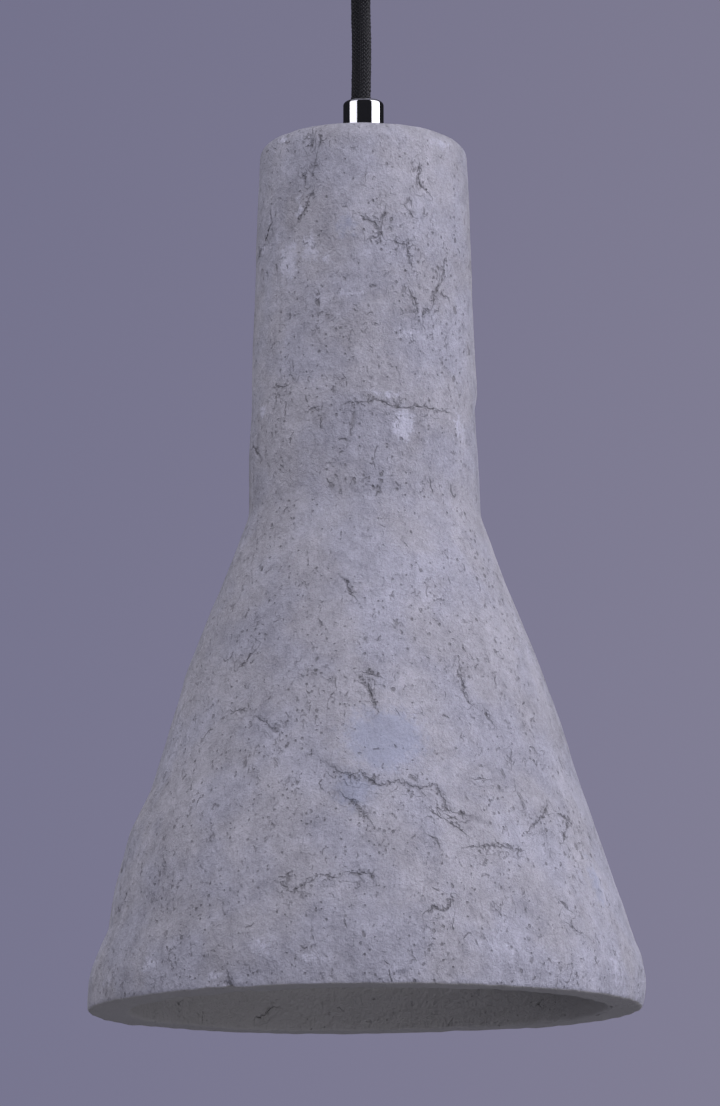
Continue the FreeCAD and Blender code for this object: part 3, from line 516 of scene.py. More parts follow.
# cracks and scratches: half width in mm, then (azimuth, height) points
CRACKS = [
    (0.42, [(-29, 281), (-31, 279), (-33, 276), (-37, 272)]),
    (0.38, [(-30, 303), (-30, 298)]),
    (0.34, [(-25, 302), (-25, 298)]),
    (0.30, [(-27, 293), (-28.5, 290)]),
    (0.30, [(-33, 289), (-33.5, 285)]),
    (0.36, [(-2, 272), (2.5, 270), (6, 269), (8, 266.5), (10.5, 264.5)]),
    (0.28, [(11, 273.5), (9, 269), (7.5, 264.5), (3, 263.5)]),
    (0.38, [(16, 263), (20.5, 262.5), (24.5, 263.5)]),
    (0.34, [(23, 263), (24, 258), (26, 255)]),
    (0.40, [(24, 246), (27, 243), (28.5, 241), (27.5, 238)]),
    (0.36, [(31.5, 237), (32, 239.5), (34.5, 239.5)]),
    (0.36, [(38.5, 242), (40, 245.5), (44.5, 249.5)]),
    (0.30, [(44.5, 249.5), (47, 254), (48, 259)]),
    (0.38, [(31.5, 292), (31, 286), (32, 284), (37, 281.5)]),
    (0.24, [(24, 275), (27, 273)]),
    (0.34, [(-28.5, 203), (-23, 203.5)]),
    (0.30, [(-49.5, 213.5), (-43, 213.5)]),
    (0.11, [(-8, 205), (1, 205.5), (6.5, 206), (15, 204), (31, 204.5), (47, 204.5)]),
    (0.60, [(-8, 141.5), (-6, 138.5), (-4, 135.5)]),
    (0.60, [(-1.5, 104), (1, 102.5), (3, 95)]),
    (0.40, [(-0.5, 107.5), (4.5, 106)]),
    (0.40, [(-37, 117.5), (-42, 112)]),
    (0.36, [(-41.5, 96.5), (-37, 96)]),
    (0.45, [(-31, 93), (-24.5, 87.5)]),
    (0.38, [(30.5, 111), (30, 101), (31.5, 98)]),
    (0.38, [(36, 96), (37.5, 92)]),
    (0.36, [(-7.5, 73.5), (-5.5, 71.5), (-3, 70.5)]),
    (0.36, [(-0.5, 71.5), (1.5, 68.5), (4, 67.5), (8.5, 69)]),
    (0.30, [(9.5, 68), (13, 67), (18, 68)]),
    (0.42, [(18, 68), (19, 63), (20, 59.5), (24, 58)]),
    (0.34, [(15.5, 59), (18.5, 56.5), (23, 52.5)]),
    (0.34, [(-5, 64), (-2, 61), (1.5, 54.5)]),
    (0.45, [(-18, 34), (-15.5, 31), (-13.5, 33.5), (-11, 35)]),
    (0.36, [(-9.5, 36.5), (-6.5, 35.5)]),
    (0.36, [(-3.5, 37), (1, 37), (1.5, 35)]),
    (0.32, [(24, 47), (27.5, 47.5), (31.5, 48), (33.5, 47.5), (38, 47)]),
    (0.32, [(41, 67), (42, 62.5)]),
    (0.40, [(42, 55), (48.5, 60.5), (50.5, 64)]),
    (0.36, [(54.5, 62), (59, 60.5), (54.5, 53.5)]),
    (0.45, [(12.5, 24), (14, 26), (16.5, 24.5), (18, 28.5)]),
    (0.30, [(15, 50.5), (16.5, 49)]),
    (0.30, [(29, 71), (32, 71)]),
    (0.30, [(42, 81), (41.5, 78.5)]),
    (0.36, [(46, 31), (49, 27.5)]),
    (0.34, [(47, 22.5), (49.5, 20.5)]),
    (0.34, [(-28.6, 4.5), (-28.0, 0.5)]),
]
CRACK_DEPTH = 1.1
CRACK_REACH = 3.5

# a cast ledge: the surface below it stands back, by the depth in mm, fading over the fade in mm
LEDGES = [
    (0.70, 12.0, [(-7.5, 73.5), (-5.5, 71.5), (-3, 70.5), (-0.5, 70.5), (1.5, 68.5), (4, 67.5), (8.5, 69),
                  (13, 67), (18, 68), (19, 63), (20, 59.5), (24, 58)]),
    (0.40, 8.0, [(-5, 64), (-2, 61), (1.5, 54.5)]),
]

# shallow dents: azimuth, height, radius and depth in mm
DENTS = [
    (-11.5, 22, 1.5, 0.6),
    (-3, 24.5, 1.2, 0.5),
    (-9, 32.5, 1.7, 0.6),
    (-22.5, 28, 1.1, 0.5),
    (-19, 17.5, 1.4, 0.6),
    (-7.5, 18, 1.1, 0.5),
    (-6.0, 138, 1.3, 0.6),
    (-32.5, 5.0, 4.5, 1.0),
    (-28.0, 0.8, 1.4, 1.2),
    (7, 3.0, 1.2, 0.8),
    (17, 2.5, 1.2, 0.8),
    (-51.0, 303.5, 2.6, 0.8),
]

# patches: azimuth, height, half width and half height in mm, and how strong
LIME = [
    (-44, 258, 5, 8, 1.0),
    (-29, 262, 4, 6, 0.9),
    (-20, 257, 4, 4, 0.7),
    (-7, 244, 7, 3, 0.6),
    (1, 258, 2, 4, 0.6),
    (-51, 303.5, 3, 1.5, 1.3),
    (-37.5, 277, 2, 6, 0.8),
    (-68, 265.5, 2, 2, 1.2),
    (-63, 207, 3, 3, 0.9),
    (48, 301, 7, 3, 0.7),
    (19, 197.5, 5, 7, 1.0),
    (11, 208.5, 8, 2, 0.7),
    (56, 200, 6, 8, 0.6),
    (23, 231, 8, 4, 0.5),
    (-49, 9.5, 6, 3, 0.9),
    (-32, 4.0, 3, 1.5, 1.1),
    (-21, 13, 6, 4, 0.7),
    (-10, 8.5, 10, 3, 0.6),
    (-66, 8, 8, 5, 0.6),
    (28, 12, 14, 5, 0.45),
    (62, 10, 8, 9, 0.65),
]
SLICK = [
    (5.5, 84, 15, 12, 1.3),
    (-3, 66, 8, 8, 1.0),
    (63, 39, 6, 11, 0.9),
    (-8, 268, 6, 5, 0.8),
    (-130, 190, 9, 12, 0.9),
    (140, 90, 12, 9, 0.9),
]

# shallow pits all over, most of them in clumps: their least radius, how much more it can be, and a clump's
# spread, in mm
PITS = 500
PIT_RADIUS = 0.45
PIT_GROWTH = 0.75
PIT_CLUMPS = 90
CLUMPED_SHARE = 0.6
CLUMP_SPREAD = 7.0

# the far side's marks, from one azimuth round to the other: how many cracks and clusters of lime patches
FAR_FROM = 74
FAR_TO = 286
FAR_CRACKS = 46
FAR_LIME_CLUSTERS = 16


def shade_profile():
    """The shade's closed outline as (radius, height) rings, its outward directions, how many are outside."""
    outside = resampled(rounded_outline(SHADE_CORNERS), OUTSIDE_STEP * (1))
    inside = resampled(rounded_outline(SHADE_INSIDE), INSIDE_STEP)[1:-1]
    line = np.concatenate([outside, inside])
    ahead = np.roll(line, -1, axis=0) - np.roll(line, 1, axis=0)
    ahead /= np.linalg.norm(ahead, axis=1)[:, None]
    facing = np.stack([-ahead[:, 1], ahead[:, 0]], axis=1)
    return line, facing, len(outside)


def nearest_on_line(across, up, line):
    """For points near a polyline, all in mm: the distance, the side, and how far they are from its ends."""
    best = np.full(len(across), 1e9)
    side = np.ones(len(across))
    along = np.zeros(len(across))
    start = 0.0
    last = len(line) - 2
    for number, ((ax, ay), (bx, by)) in enumerate(zip(line, line[1:])):
        dx, dy = bx - ax, by - ay
        length = math.hypot(dx, dy)
        free = ((across - ax) * dx + (up - ay) * dy) / length ** 2
        share = np.clip(free, 0, 1)
        gap_x = across - ax - dx * share
        gap_y = up - ay - dy * share
        gap = np.hypot(gap_x, gap_y)
        closer = gap < best
        best = np.where(closer, gap, best)
        side = np.where(closer, np.sign(dx * gap_y - dy * gap_x), side)
        reached = np.clip(free, -9 if number == 0 else 0, 9 if number == last else 1)
        along = np.where(closer, start + reached * length, along)
        start += length
    return best, side, np.minimum(along, start - along)


def round_at(height):
    """The outside's plain radius at a height, in mm."""
    line = rounded_outline(SHADE_CORNERS)
    line = line[line[:, 0] > NECK_RADIUS]
    order = np.argsort(line[:, 1])
    return float(np.interp(height, line[order, 1], line[order, 0]))


def far_marks():
    """Cracks and lime patches for the far side, like those of the near side."""
    rng = np.random.default_rng(31)
    cracks = []
    for _ in range(FAR_CRACKS):
        where = rng.uniform(FAR_FROM, FAR_TO)
        level = rng.uniform(10, 160) if rng.random() < 0.6 else rng.uniform(185, 298)
        heading = rng.normal(0, 0.8)
        points = [(where, level)]
        for _ in range(rng.integers(2, 6)):
            heading += rng.normal(0, 0.55)
            stride = rng.uniform(1.8, 5.0)
            where += math.degrees(stride * math.cos(heading) / round_at(level))
            level += stride * math.sin(heading)
            points.append((where, level))
        cracks.append((rng.uniform(0.26, 0.46), points))
    lime = []
    for _ in range(FAR_LIME_CLUSTERS):
        middle = rng.uniform(FAR_FROM + 4, FAR_TO - 4)
        level = rng.uniform(12, 296)
        for _ in range(rng.integers(3, 6)):
            aside = math.degrees(rng.normal(0, 6.5) / round_at(level))
            size = rng.uniform(1.5, 4.5)
            lime.append((middle + aside, level + rng.normal(0, 5.0), size, size * rng.uniform(0.5, 1.4),
                         rng.uniform(0.45, 0.95)))
    return cracks, lime


def crack_masks(graph, across, inside, half_width):
    """Ragged, broken cracks: their opening, darkened with painted shade, their groove, and how much more
    pitted their sides are.
    """
    wander = graph.times(graph.ripple(1.3 * MM, 2.0), 1.9)
    off_crack = graph.math("ABSOLUTE", graph.math("ADD", across, wander))
    broken = graph.span(graph.noise(2.0 * MM, 2.0, place=graph.moved(0.53)), 0.47, 0.62, 0.0, 1.30)
    opening = graph.times(half_width, broken, graph.span(inside, -0.2, 1.6))
    gap = graph.math("SUBTRACT", opening, off_crack)
    crack = graph.math("DIVIDE", gap, 0.25, clamp=True)
    groove = graph.span(gap, -0.32, 0.22)
    crumbled = graph.times(graph.span(off_crack, 0.3, 2.4, 0.42, 0.0), graph.span(inside, -1.0, 0.5))
    return crack, groove, crumbled


def pit_masks(graph, cluster, shelter_and_painted_light, tall, short):
    """Pits and short strokes, of which there are more where the cluster value is high."""
    ragged = graph.shifted(1.2 * MM, 1.1 * MM, tall)
    chipped = graph.shifted(0.55 * MM, 0.8 * MM, short)
    small = graph.pits(1.6 * MM, 0.50, 0.34, 0.12, cluster, chipped)
    medium = graph.pits(3.2 * MM, 0.38, 0.24, 0.07, cluster, chipped)
    large = graph.pits(8.0 * MM, 0.26, 0.13, 0.03, cluster, ragged)
    pits = graph.math("MAXIMUM", graph.times(small, 0.9), graph.math("MAXIMUM", medium, large))
    scratch_gate = graph.math("SUBTRACT", 0.595, graph.times(cluster, 0.4))
    scratch = graph.strokes(2.6 * MM, 0.30 * MM, 3.2 * MM, scratch_gate, ragged)
    scar_gate = graph.math("ADD", 0.60, graph.times(shelter_and_painted_light, 0.05))
    scar = graph.strokes(7.0 * MM, 0.40 * MM, 6.0 * MM, scar_gate, graph.moved(0.83, ragged))
    lines = graph.math("MAXIMUM", graph.times(scratch, 0.75), scar)
    return pits, lines


def concrete_material():
    """Cement: blotched grey, mottled and pitted, with ragged cracks, lime bloom, slick patches, painted shade
    in its hollows and on the rim, and painted bounce light deep inside.
    """
    graph = Graph("concrete")
    across, inside, half_width = graph.attribute("crack")
    lime, slick, shelter_and_painted_light = graph.attribute("patch")
    tall = graph.scaled((1.0, 1.0, 0.65))
    short = graph.scaled((1.0, 1.0, 0.85))

    cloud = graph.noise(60 * MM, 3.0, 0.55)
    blotch = graph.noise(15 * MM, 5.0, 0.62, place=tall)
    mottle = graph.ripple(4.5 * MM, 5.0, 0.76, graph.moved(0.21, short))
    speck = graph.ripple(0.75 * MM, 2.0, 0.6)
    edge = graph.times(graph.ripple(2.4 * MM, 4.0, 0.7), 1.6)
    lime = graph.span(graph.total(lime, edge), 0.30, 0.85)
    slick = graph.span(graph.total(slick, graph.times(edge, 0.8)), 0.30, 0.95)
    calm = graph.span(slick, 0.0, 1.0, 1.0, 0.55)

    crack, groove, crumbled = crack_masks(graph, across, inside, half_width)
    patchy = graph.times(graph.ripple(20 * MM), 0.7)
    cluster = graph.total(patchy, crumbled, graph.times(slick, -0.12), graph.times(shelter_and_painted_light, -0.15), -0.02)
    pits, lines = pit_masks(graph, cluster, shelter_and_painted_light, tall, short)
    # painted shade in the hollows: pits and scratches are darkened in colour as well as sunk in the bump
    marks = graph.math("POWER", graph.math("MAXIMUM", pits, lines), 2.0)

    value = graph.total(
        1.0,
        graph.span(cloud, 0.3, 0.7, -0.06, 0.06),
        graph.span(blotch, 0.3, 0.7, -0.09, 0.09),
        graph.times(mottle, 0.9, calm),
        graph.times(speck, 0.45),
    )
    grey = graph.make("ShaderNodeCombineColor", {0: value, 1: value, 2: value}).outputs[0]
    warm_or_cool = graph.span(graph.noise(24 * MM, 4.0, place=graph.moved(0.11)), 0.38, 0.62)
    colour = graph.mix(warm_or_cool, (0.406, 0.398, 0.446), (0.392, 0.391, 0.459))
    colour = graph.mix(graph.times(slick, 0.75), colour, (0.312, 0.332, 0.428))
    colour = graph.mix(1.0, colour, grey, "MULTIPLY")
    colour = graph.mix(graph.times(lime, 0.75), colour, (0.590, 0.592, 0.695))
    colour = graph.mix(graph.times(marks, 0.58), colour, (0.165, 0.161, 0.172))
    # painted shade: the crack openings turn dark grey
    colour = graph.mix(graph.times(crack, 0.5), colour, (0.165, 0.161, 0.168))
    # painted shade: the rim, its inner lip and the top by the hole take a darker, warmer grey; deep inside
    # takes a lighter, warmer grey as painted bounce light from below
    colour = graph.mix(graph.span(shelter_and_painted_light, 0.0, 1.0, 0.0, 0.9), colour, (0.350, 0.342, 0.325))
    colour = graph.mix(graph.span(shelter_and_painted_light, 1.0, 2.0, 0.0, 0.9), colour, (0.430, 0.420, 0.400))

    height = graph.total(
        graph.times(pits, -0.75),
        graph.times(lines, -0.6),
        graph.times(groove, -0.95),
        graph.times(mottle, 2.2, calm),
        graph.times(speck, 0.13),
        graph.times(lime, 0.10),
    )
    normal = graph.bump(height, MM)
    return graph.finish(colour, graph.span(mottle, -0.2, 0.2, 0.80, 0.95), normal, Specular_IOR_Level=0.3)


def add_noise(values, points, layers, seed):
    """Adds layers of noise, each with its amount and size, to an array of values."""
    for number, (amount, size) in enumerate(layers):
        values += amount * lattice_noise(points, size, seed + number)


class Skin:
    """The shade's whole surface as rings of points, in mm, and how far each is lifted off the plain round."""

    def __init__(self):
        line, facing, outside_rings = shade_profile()
        self.rings = len(line)
        self.columns = COLUMNS
        self.azimuth = np.tile(np.arange(self.columns) * 2 * math.pi / self.columns, self.rings)
        self.radius = np.repeat(line[:, 0], self.columns)
        self.height = np.repeat(line[:, 1], self.columns)
        out_r = np.repeat(facing[:, 0], self.columns)
        out_z = np.repeat(facing[:, 1], self.columns)
        self.sine, cosine = np.sin(self.azimuth), np.cos(self.azimuth)
        self.spots = np.stack([self.radius * self.sine, -self.radius * cosine, self.height], axis=1)
        self.outward = np.stack([out_r * self.sine, -out_r * cosine, out_z], axis=1)
        self.degrees = (np.degrees(self.azimuth) + 180) % 360 - 180
        self.outside = np.repeat(np.arange(self.rings) < outside_rings, self.columns)
        self.side = self.outside & (self.radius > TOP_RADIUS)
        self.inner_lip = self.side & (self.height < LIP_HEIGHT) & (self.radius < LIP_RADIUS)
        self.lift = np.zeros(len(self.spots))
        self.ragged_x = np.zeros(len(self.spots))
        self.ragged_y = np.zeros(len(self.spots))
        add_noise(self.ragged_x, self.spots, RAGGEDNESS, 5)
        add_noise(self.ragged_y, self.spots, RAGGEDNESS, 7)

    def unrolled(self, azimuth, level):
        """How far each point is to the right of an azimuth, in mm round the shade at that level."""
        return ((self.degrees - azimuth + 180) % 360 - 180) * math.pi / 180 * round_at(level)

    def near(self, points, margin):
        """Which points of the side lie near a line, and the line and those points unrolled to mm."""
        middle = sum(point[0] for point in points) / len(points)
        level = sum(point[1] for point in points) / len(points)
        around = round_at(level)
        ways = [((point[0] - middle) * math.pi / 180 * around, point[1]) for point in points]
        across = self.unrolled(middle, level)
        low_x = min(way[0] for way in ways) - margin
        high_x = max(way[0] for way in ways) + margin
        low_y = min(way[1] for way in ways) - margin
        high_y = max(way[1] for way in ways) + margin
        beside = (across > low_x) & (across < high_x)
        level_with = (self.height > low_y) & (self.height < high_y)
        chosen = np.nonzero(self.side & beside & level_with)[0]
        ragged_across = across[chosen] + self.ragged_x[chosen]
        ragged_up = self.height[chosen] + self.ragged_y[chosen]
        return chosen, ways, ragged_across, ragged_up

    def spread(self, patches):
        """How strongly patches lie on each point, from 0 to about 1."""
        result = np.zeros(len(self.spots))
        for where, level, wide, high, strong in patches:
            across = self.unrolled(where, level) + 2.5 * self.ragged_x
            up = self.height - level + 2.5 * self.ragged_y
            gap = np.hypot(across / wide, up / high)
            result = np.maximum(result, strong * np.exp(-gap ** 2) * self.side)
        return result


def cast_unevenly(skin):
    """The casting's unevenness, and how far its sides stand out in the photograph."""
    add_noise(skin.lift, skin.spots, UNEVENNESS, 1)
    heights, left, right = np.array(CAST_SIDES, float).T
    to_right = np.clip(skin.sine, 0, 1) ** 2
    to_left = np.clip(-skin.sine, 0, 1) ** 2
    right_side = to_right * np.interp(skin.height, heights, right)
    left_side = to_left * np.interp(skin.height, heights, left)
    skin.lift += right_side + left_side
    calmer_inside = np.where(skin.outside | (skin.radius > 70), 1.0, 0.5)
    flat_by_hole = np.clip((skin.radius - 8.0) / 6.0, 0.0, 1.0)
    skin.lift *= calmer_inside * flat_by_hole


def cut_cracks(skin, cracks):
    """Cuts the cracks. Gives each point's distance across the nearest one, how far inside, half its width."""
    wobble = 1.0 + 0.5 * lattice_noise(skin.spots, 2.2, 9)
    crack = np.zeros((len(skin.spots), 3))
    crack[:, 0] = 2 * CRACK_REACH
    crack[:, 1] = -2 * CRACK_REACH
    nearest = np.full(len(skin.spots), CRACK_REACH)
    for half_width, points in cracks:
        chosen, ways, across, up = skin.near(points, CRACK_REACH)
        gap, side, inside = nearest_on_line(across, up, ways)
        ends = np.clip(inside / 1.5 + 0.5, 0, 1)
        share = np.exp(-(gap / (1.4 * half_width)) ** 2) * ends * wobble[chosen].clip(0.3, 1.3)
        skin.lift[chosen] -= CRACK_DEPTH * half_width * share
        nearer = gap < nearest[chosen]
        found = chosen[nearer]
        nearest[found] = gap[nearer]
        crack[found, 0] = (gap * side)[nearer]
        crack[found, 1] = np.minimum(inside, CRACK_REACH - 0.5 - gap)[nearer]
        crack[found, 2] = half_width
    return crack


def set_back_ledges(skin):
    for depth, fade, points in LEDGES:
        chosen, ways, across, up = skin.near(points, fade * 1.5)
        gap, side, _ = nearest_on_line(across, up, ways)
        below = np.where(side < 0, np.exp(-(gap / fade) ** 2) * (1 - np.exp(-(gap / 0.5) ** 2)), 0.0)
        skin.lift[chosen] -= depth * below


def press_dents(skin):
    for where, level, size, depth in DENTS:
        chosen, ways, across, up = skin.near([(where, level), (where + 0.01, level)], size * 3)
        gap = np.hypot(across - ways[0][0], up - ways[0][1])
        skin.lift[chosen] -= depth * np.exp(-(gap / size) ** 2.5)


def press_pits(skin):
    """Shallow pits with ragged edges, tilted and narrowed at random."""
    numbers = np.nonzero(skin.outside)[0]
    tree = kdtree.KDTree(len(numbers))
    for number in numbers:
        tree.insert(skin.spots[number], int(number))
    tree.balance()
    rng = np.random.default_rng(23)
    clumps = rng.choice(numbers, PIT_CLUMPS)
    for _ in range(PITS):
        if rng.random() < CLUMPED_SHARE:
            start = skin.spots[rng.choice(clumps)] + rng.normal(0, CLUMP_SPREAD, 3)
        else:
            start = skin.spots[rng.choice(numbers)]
        _, middle, _ = tree.find(start)
        centre = skin.spots[middle]
        size = PIT_RADIUS + PIT_GROWTH * rng.random() ** 3
        depth = size * rng.uniform(0.3, 0.6)
        stretch = rng.uniform(0.45, 0.9)
        tilt = rng.normal(0, 0.5)
        around = np.array([math.cos(skin.azimuth[middle]), math.sin(skin.azimuth[middle]), 0.0])
        for place, number, _ in tree.find_range(centre, size * 2.2):
            step = np.array(place) - centre
            x = step @ around + 0.3 * skin.ragged_x[number]
            y = step[2] + 0.3 * skin.ragged_y[number]
            long = y * math.cos(tilt) + x * math.sin(tilt)
            cross = (x * math.cos(tilt) - y * math.sin(tilt)) / stretch
            share = math.exp(-((long * long + cross * cross) / (size * size)) ** 1.5)
            skin.lift[number] -= depth * share


def move_spots(skin):
    """Moves the points by their lift, the inside off the outside's middle, and the rim up and down."""
    skin.spots += skin.outward * skin.lift[:, None]
    heights, shifts = np.array(INSIDE_SHIFT).T
    shift = np.where(skin.outside, 0.0, np.interp(skin.height, heights, shifts))
    skin.spots[:, 0] += np.where(skin.inner_lip, shifts[0], shift)
    rise = RIM_TILT * skin.sine
    add_noise(rise, skin.spots, RIM_BUMPS, 12)
    skin.spots[:, 2] += np.clip(1 - skin.height / RIM_FADE, 0, 1) * rise


def shelter_and_painted_light(skin):
    """How clean and calm the surface is, and where it is painted: 0 on the side; 1 on the rim and by the
    hole, painted darker and warmer as shade; up to 2 deep inside, painted lighter and warmer as bounce light.
    """
    on_side = np.where(skin.side & ~skin.inner_lip & (skin.height >= RIM_HEIGHT), 0.0, 1.0)
    return np.where(skin.outside, on_side, 1.0 + np.clip((skin.height - LIP_HEIGHT) / 14.0, 0, 1))


def grid_faces(rings, columns):
    """The four-cornered faces of a closed grid of points."""
    ring = np.arange(rings)
    following = np.roll(ring, -1)
    column = np.arange(columns)
    beside = np.roll(column, -1)
    corners = ((ring, column), (following, column), (following, beside), (ring, beside))
    return np.stack([(row[:, None] * columns + place[None, :]).ravel() for row, place in corners], axis=1)


def thin_out(piece, triangles):
    """Reduces a piece made of four-cornered faces to about that many triangles."""
    thin = piece.modifiers.new("thin", "DECIMATE")
    thin.ratio = min(1.0, triangles / (2 * len(piece.data.polygons)))
    bpy.context.view_layer.update()
    evaluated = piece.evaluated_get(bpy.context.evaluated_depsgraph_get())
    reduced = bpy.data.meshes.new_from_object(evaluated)
    piece.modifiers.clear()
    full = piece.data
    piece.data = reduced
    bpy.data.meshes.remove(full)


def make_shade():
    """The cast shade, thick-walled and closed, with its unevenness, cracks, ledges, dents and pits."""
    skin = Skin()
    far_cracks, far_lime = far_marks()
    cast_unevenly(skin)
    crack = cut_cracks(skin, CRACKS + far_cracks)
    set_back_ledges(skin)
    press_dents(skin)
    press_pits(skin)
    move_spots(skin)
    patch = np.stack([skin.spread(LIME + far_lime), skin.spread(SLICK), shelter_and_painted_light(skin)], axis=1)
    points = skin.spots * MM
    points[:, 2] += RIM_LEVEL
    faces = grid_faces(skin.rings, skin.columns)
    material = concrete_material()
    shade = new_piece("cast_shade", points.tolist(), faces.tolist(), material, "pendant")
    for name, values in (("crack", crack), ("patch", patch)):
        layer = shade.data.attributes.new(name, "FLOAT_VECTOR", "POINT")
        layer.data.foreach_set("vector", values.astype(np.float32).ravel())
    thin_out(shade, TRIANGLES)
    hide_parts("concrete_shade")


make_shade()


# ---------------------------------------------------------------- finishes of the CAD pieces


def metal(name, colour, tarnish, roughness, turned=False, smear=0.12):
    """Bare or plated metal with fine tool marks, smudges and a little tarnish."""
    graph = Graph(name)
    place = graph.scaled((0.15, 0.15, 1.0)) if turned else graph.place
    marks = graph.noise(0.12 * MM, 3.0, 0.6, place=place)
    smudge = graph.noise(3.5 * MM, 4.0, 0.6)
    shade = graph.mix(graph.span(smudge, 0.45, 0.75, 0, 0.7), colour, tarnish)
    rough = graph.span(smudge, 0.3, 0.75, roughness, roughness + smear)
    normal = graph.bump(marks, 0.00007 * roughness)
    return graph.finish(shade, rough, normal, Metallic=1.0)


def plastic(name, colour, worn, roughness, grain=0.15):
    """Moulded plastic, rubber or ceramic with a fine moulded grain and faint marks."""
    graph = Graph(name)
    fine = graph.noise(grain * MM, 3.0, 0.6)
    marks = graph.noise(5 * MM, 4.0, 0.6)
    shade = graph.mix(graph.span(marks, 0.4, 0.8, 0, 0.8), colour, worn)
    rough = graph.span(marks, 0.3, 0.8, roughness, roughness + 0.15)
    normal = graph.bump(fine, 0.00002)
    return graph.finish(shade, rough, normal, Specular_IOR_Level=0.5)


dress(metal("chrome", (0.86, 0.86, 0.88), (0.78, 0.78, 0.80), 0.025, smear=0.04),
      "shade_cord_grip", "cup_cord_grip", "ceiling_cup")
dress(metal("steel", (0.50, 0.50, 0.51), (0.36, 0.35, 0.34), 0.22),
      "shade_grip_screw", "cup_grip_screw", "cup_side_screws", "holder_lock_screw", "holder_terminal_screws",
      "terminal_screws", "terminal_block_screws", "plate_earth_screw")
dress(metal("zinc_steel", (0.55, 0.55, 0.58), (0.42, 0.42, 0.46), 0.3, turned=True),
      "ceiling_plate", "threaded_nipple", "nipple_nut", "cup_grip_nut", "steel_washer")
dress(metal("brass", (0.72, 0.53, 0.25), (0.45, 0.30, 0.12), 0.2, turned=True),
      "holder_screw_shell", "holder_centre_contact", "holder_earth_tag", "plate_earth_tag",
      "terminal_sleeves", "bulb_centre_contact")
dress(metal("nickel", (0.62, 0.60, 0.56), (0.50, 0.47, 0.42), 0.18, turned=True), "bulb_screw_cap")
dress(metal("aluminium", (0.75, 0.75, 0.75), (0.62, 0.62, 0.62), 0.35), "bulb_led_board")
dress(plastic("rubber", (0.022, 0.022, 0.022), (0.05, 0.05, 0.05), 0.7), "rubber_washer")
dress(plastic("holder_plastic", (0.018, 0.017, 0.018), (0.035, 0.034, 0.034), 0.3),
      "holder_cap", "holder_skirt")
dress(plastic("porcelain", (0.80, 0.78, 0.73), (0.68, 0.65, 0.60), 0.5, 0.3), "holder_insulator")
dress(plastic("black_glass", (0.012, 0.012, 0.014), (0.02, 0.02, 0.024), 0.12), "bulb_insulator")
dress(plastic("white_plastic", (0.80, 0.80, 0.78), (0.72, 0.72, 0.68), 0.35), "bulb_collar")
dress(plastic("white_nylon", (0.78, 0.78, 0.73), (0.70, 0.69, 0.62), 0.45), "terminal_block")
dress(plastic("opal_diffuser", (0.84, 0.84, 0.81), (0.80, 0.80, 0.77), 0.4, 0.4), "bulb_diffuser")
dress(plastic("led_phosphor", (0.85, 0.68, 0.18), (0.75, 0.60, 0.15), 0.4), "bulb_leds")
dress(plastic("core_brown", (0.16, 0.07, 0.03), (0.12, 0.05, 0.02), 0.4),
      "cup_conductor_live", "holder_conductor_live")
dress(plastic("core_blue", (0.05, 0.16, 0.42), (0.04, 0.12, 0.34), 0.4),
      "cup_conductor_neutral", "holder_conductor_neutral")
dress(plastic("core_green", (0.25, 0.42, 0.06), (0.20, 0.36, 0.05), 0.4),
      "cup_conductor_earth", "holder_conductor_earth")
dress(cord_material(), "cord_top_end", "cord_bottom_end")


# ---------------------------------------------------------------- studio

LIGHT_COLOUR = (1.0, 0.985, 1.09)
LIGHT_AIM = Vector((0.0, 0.0, RIM_LEVEL + 0.12))
FLOOR_LEVEL = -6.0
FLOOR_HALF = 24.0


def softbox(name, azimuth, elevation, distance, width, height, radiance, mirrored=True, lighting=True):
    """A rectangular light around the shade: azimuth from the camera's side towards +X, in degrees."""
    data = bpy.data.lights.new(name, "AREA")
    data.shape = "RECTANGLE"
    data.size = width
    data.size_y = height
    data.energy = radiance * math.pi * width * height
    data.color = LIGHT_COLOUR
    lamp = bpy.data.objects.new(name, data)
    scene.collection.objects.link(lamp)
    lamp.visible_glossy = mirrored
    lamp.visible_diffuse = lighting
    az, el = math.radians(azimuth), math.radians(elevation)
    away = Vector((math.sin(az) * math.cos(el), -math.cos(az) * math.cos(el), math.sin(el)))
    lamp.location = LIGHT_AIM + away * distance
    lamp.rotation_euler = away.to_track_quat("Z", "Y").to_euler()


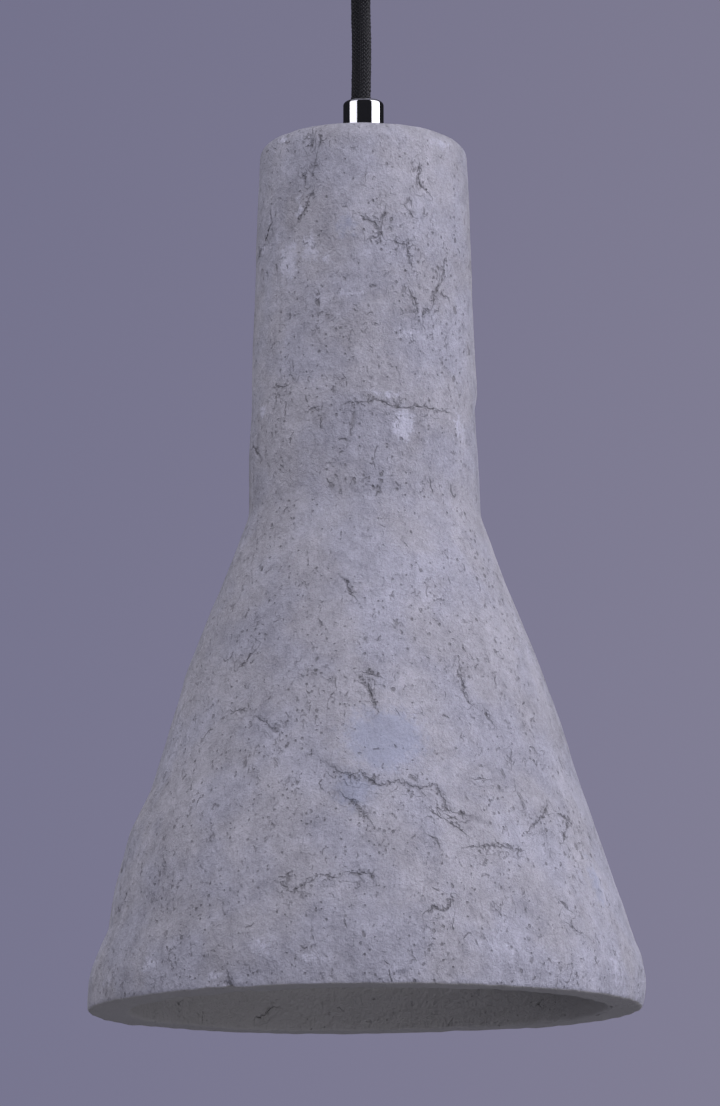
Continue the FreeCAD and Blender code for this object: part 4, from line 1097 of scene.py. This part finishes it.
def make_lights():
    softbox("key_right", 77, 17, 1.5, 1.46, 1.2, 2.15)
    softbox("side_left", -61, 15, 1.5, 1.2, 0.6, 1.20)
    softbox("front_fill", 5, 50, 1.7, 1.2, 0.8, 2.9, mirrored=False)
    softbox("low_right", 40, -25, 1.5, 0.5, 0.4, 5.0, mirrored=False)
    softbox("mirror_right", 77, 45, 1.5, 1.3, 0.40, 1.4, lighting=False)
    softbox("mirror_left", -61, 37, 1.5, 1.1, 0.50, 1.2, lighting=False)


def make_backdrop():
    """The world: a backdrop with painted light, lighter to the right and a little darker higher up, nearly
    black where it is mirrored, and a soft light on everything.
    """
    graph = Graph("studio", "worlds", "Generated")
    across, _, up = graph.make("ShaderNodeSeparateXYZ", {0: graph.place}).outputs
    # painted light on the backdrop: lighter to the right of the view and a little darker higher up
    backdrop = graph.mix(graph.ramp(across, -0.08, 0.08), (0.185, 0.180, 0.275), (0.220, 0.210, 0.300))
    backdrop = graph.mix(graph.ramp(up, 0.14, 0.34), backdrop, (0.92, 0.92, 0.93), "MULTIPLY")
    mirrored = graph.mix(graph.ramp(up, 0.5, 0.9), (0.012, 0.012, 0.015), (0.03, 0.03, 0.035))
    ambient = graph.mix(graph.ramp(up, -0.6, 0.3), (0.31, 0.305, 0.305), (0.48, 0.474, 0.525))
    rays = graph.make("ShaderNodeLightPath").outputs
    colour = graph.mix(rays["Is Glossy Ray"], ambient, mirrored)
    colour = graph.mix(rays["Is Camera Ray"], colour, backdrop)
    background = graph.make("ShaderNodeBackground", {"Color": colour})
    graph.make("ShaderNodeOutputWorld", {"Surface": background.outputs[0]})
    scene.world = graph.owner


def make_floor():
    """A pale floor far below, so that views from beneath the shade still see all of it."""
    graph = Graph("studio_floor")
    tone = graph.span(graph.noise(0.6, 3.0), 0.3, 0.7, 0.42, 0.45)
    colour = graph.make("ShaderNodeCombineColor", {0: tone, 1: tone, 2: graph.times(tone, 1.12)}).outputs[0]
    grain = graph.bump(graph.noise(0.004, 3.0), 0.0003)
    mesh = bpy.data.meshes.new("floor")
    corners = [(x * FLOOR_HALF, y * FLOOR_HALF, FLOOR_LEVEL) for x, y in ((-1, -1), (1, -1), (1, 1), (-1, 1))]
    mesh.from_pydata(corners, [], [(0, 1, 2, 3)])
    mesh.materials.append(graph.finish(colour, 0.9, grain, Specular_IOR_Level=0.2))
    floor = bpy.data.objects.new("floor", mesh)
    scene.collection.objects.link(floor)


make_lights()
make_backdrop()
make_floor()
scene.view_settings.view_transform = "Standard"
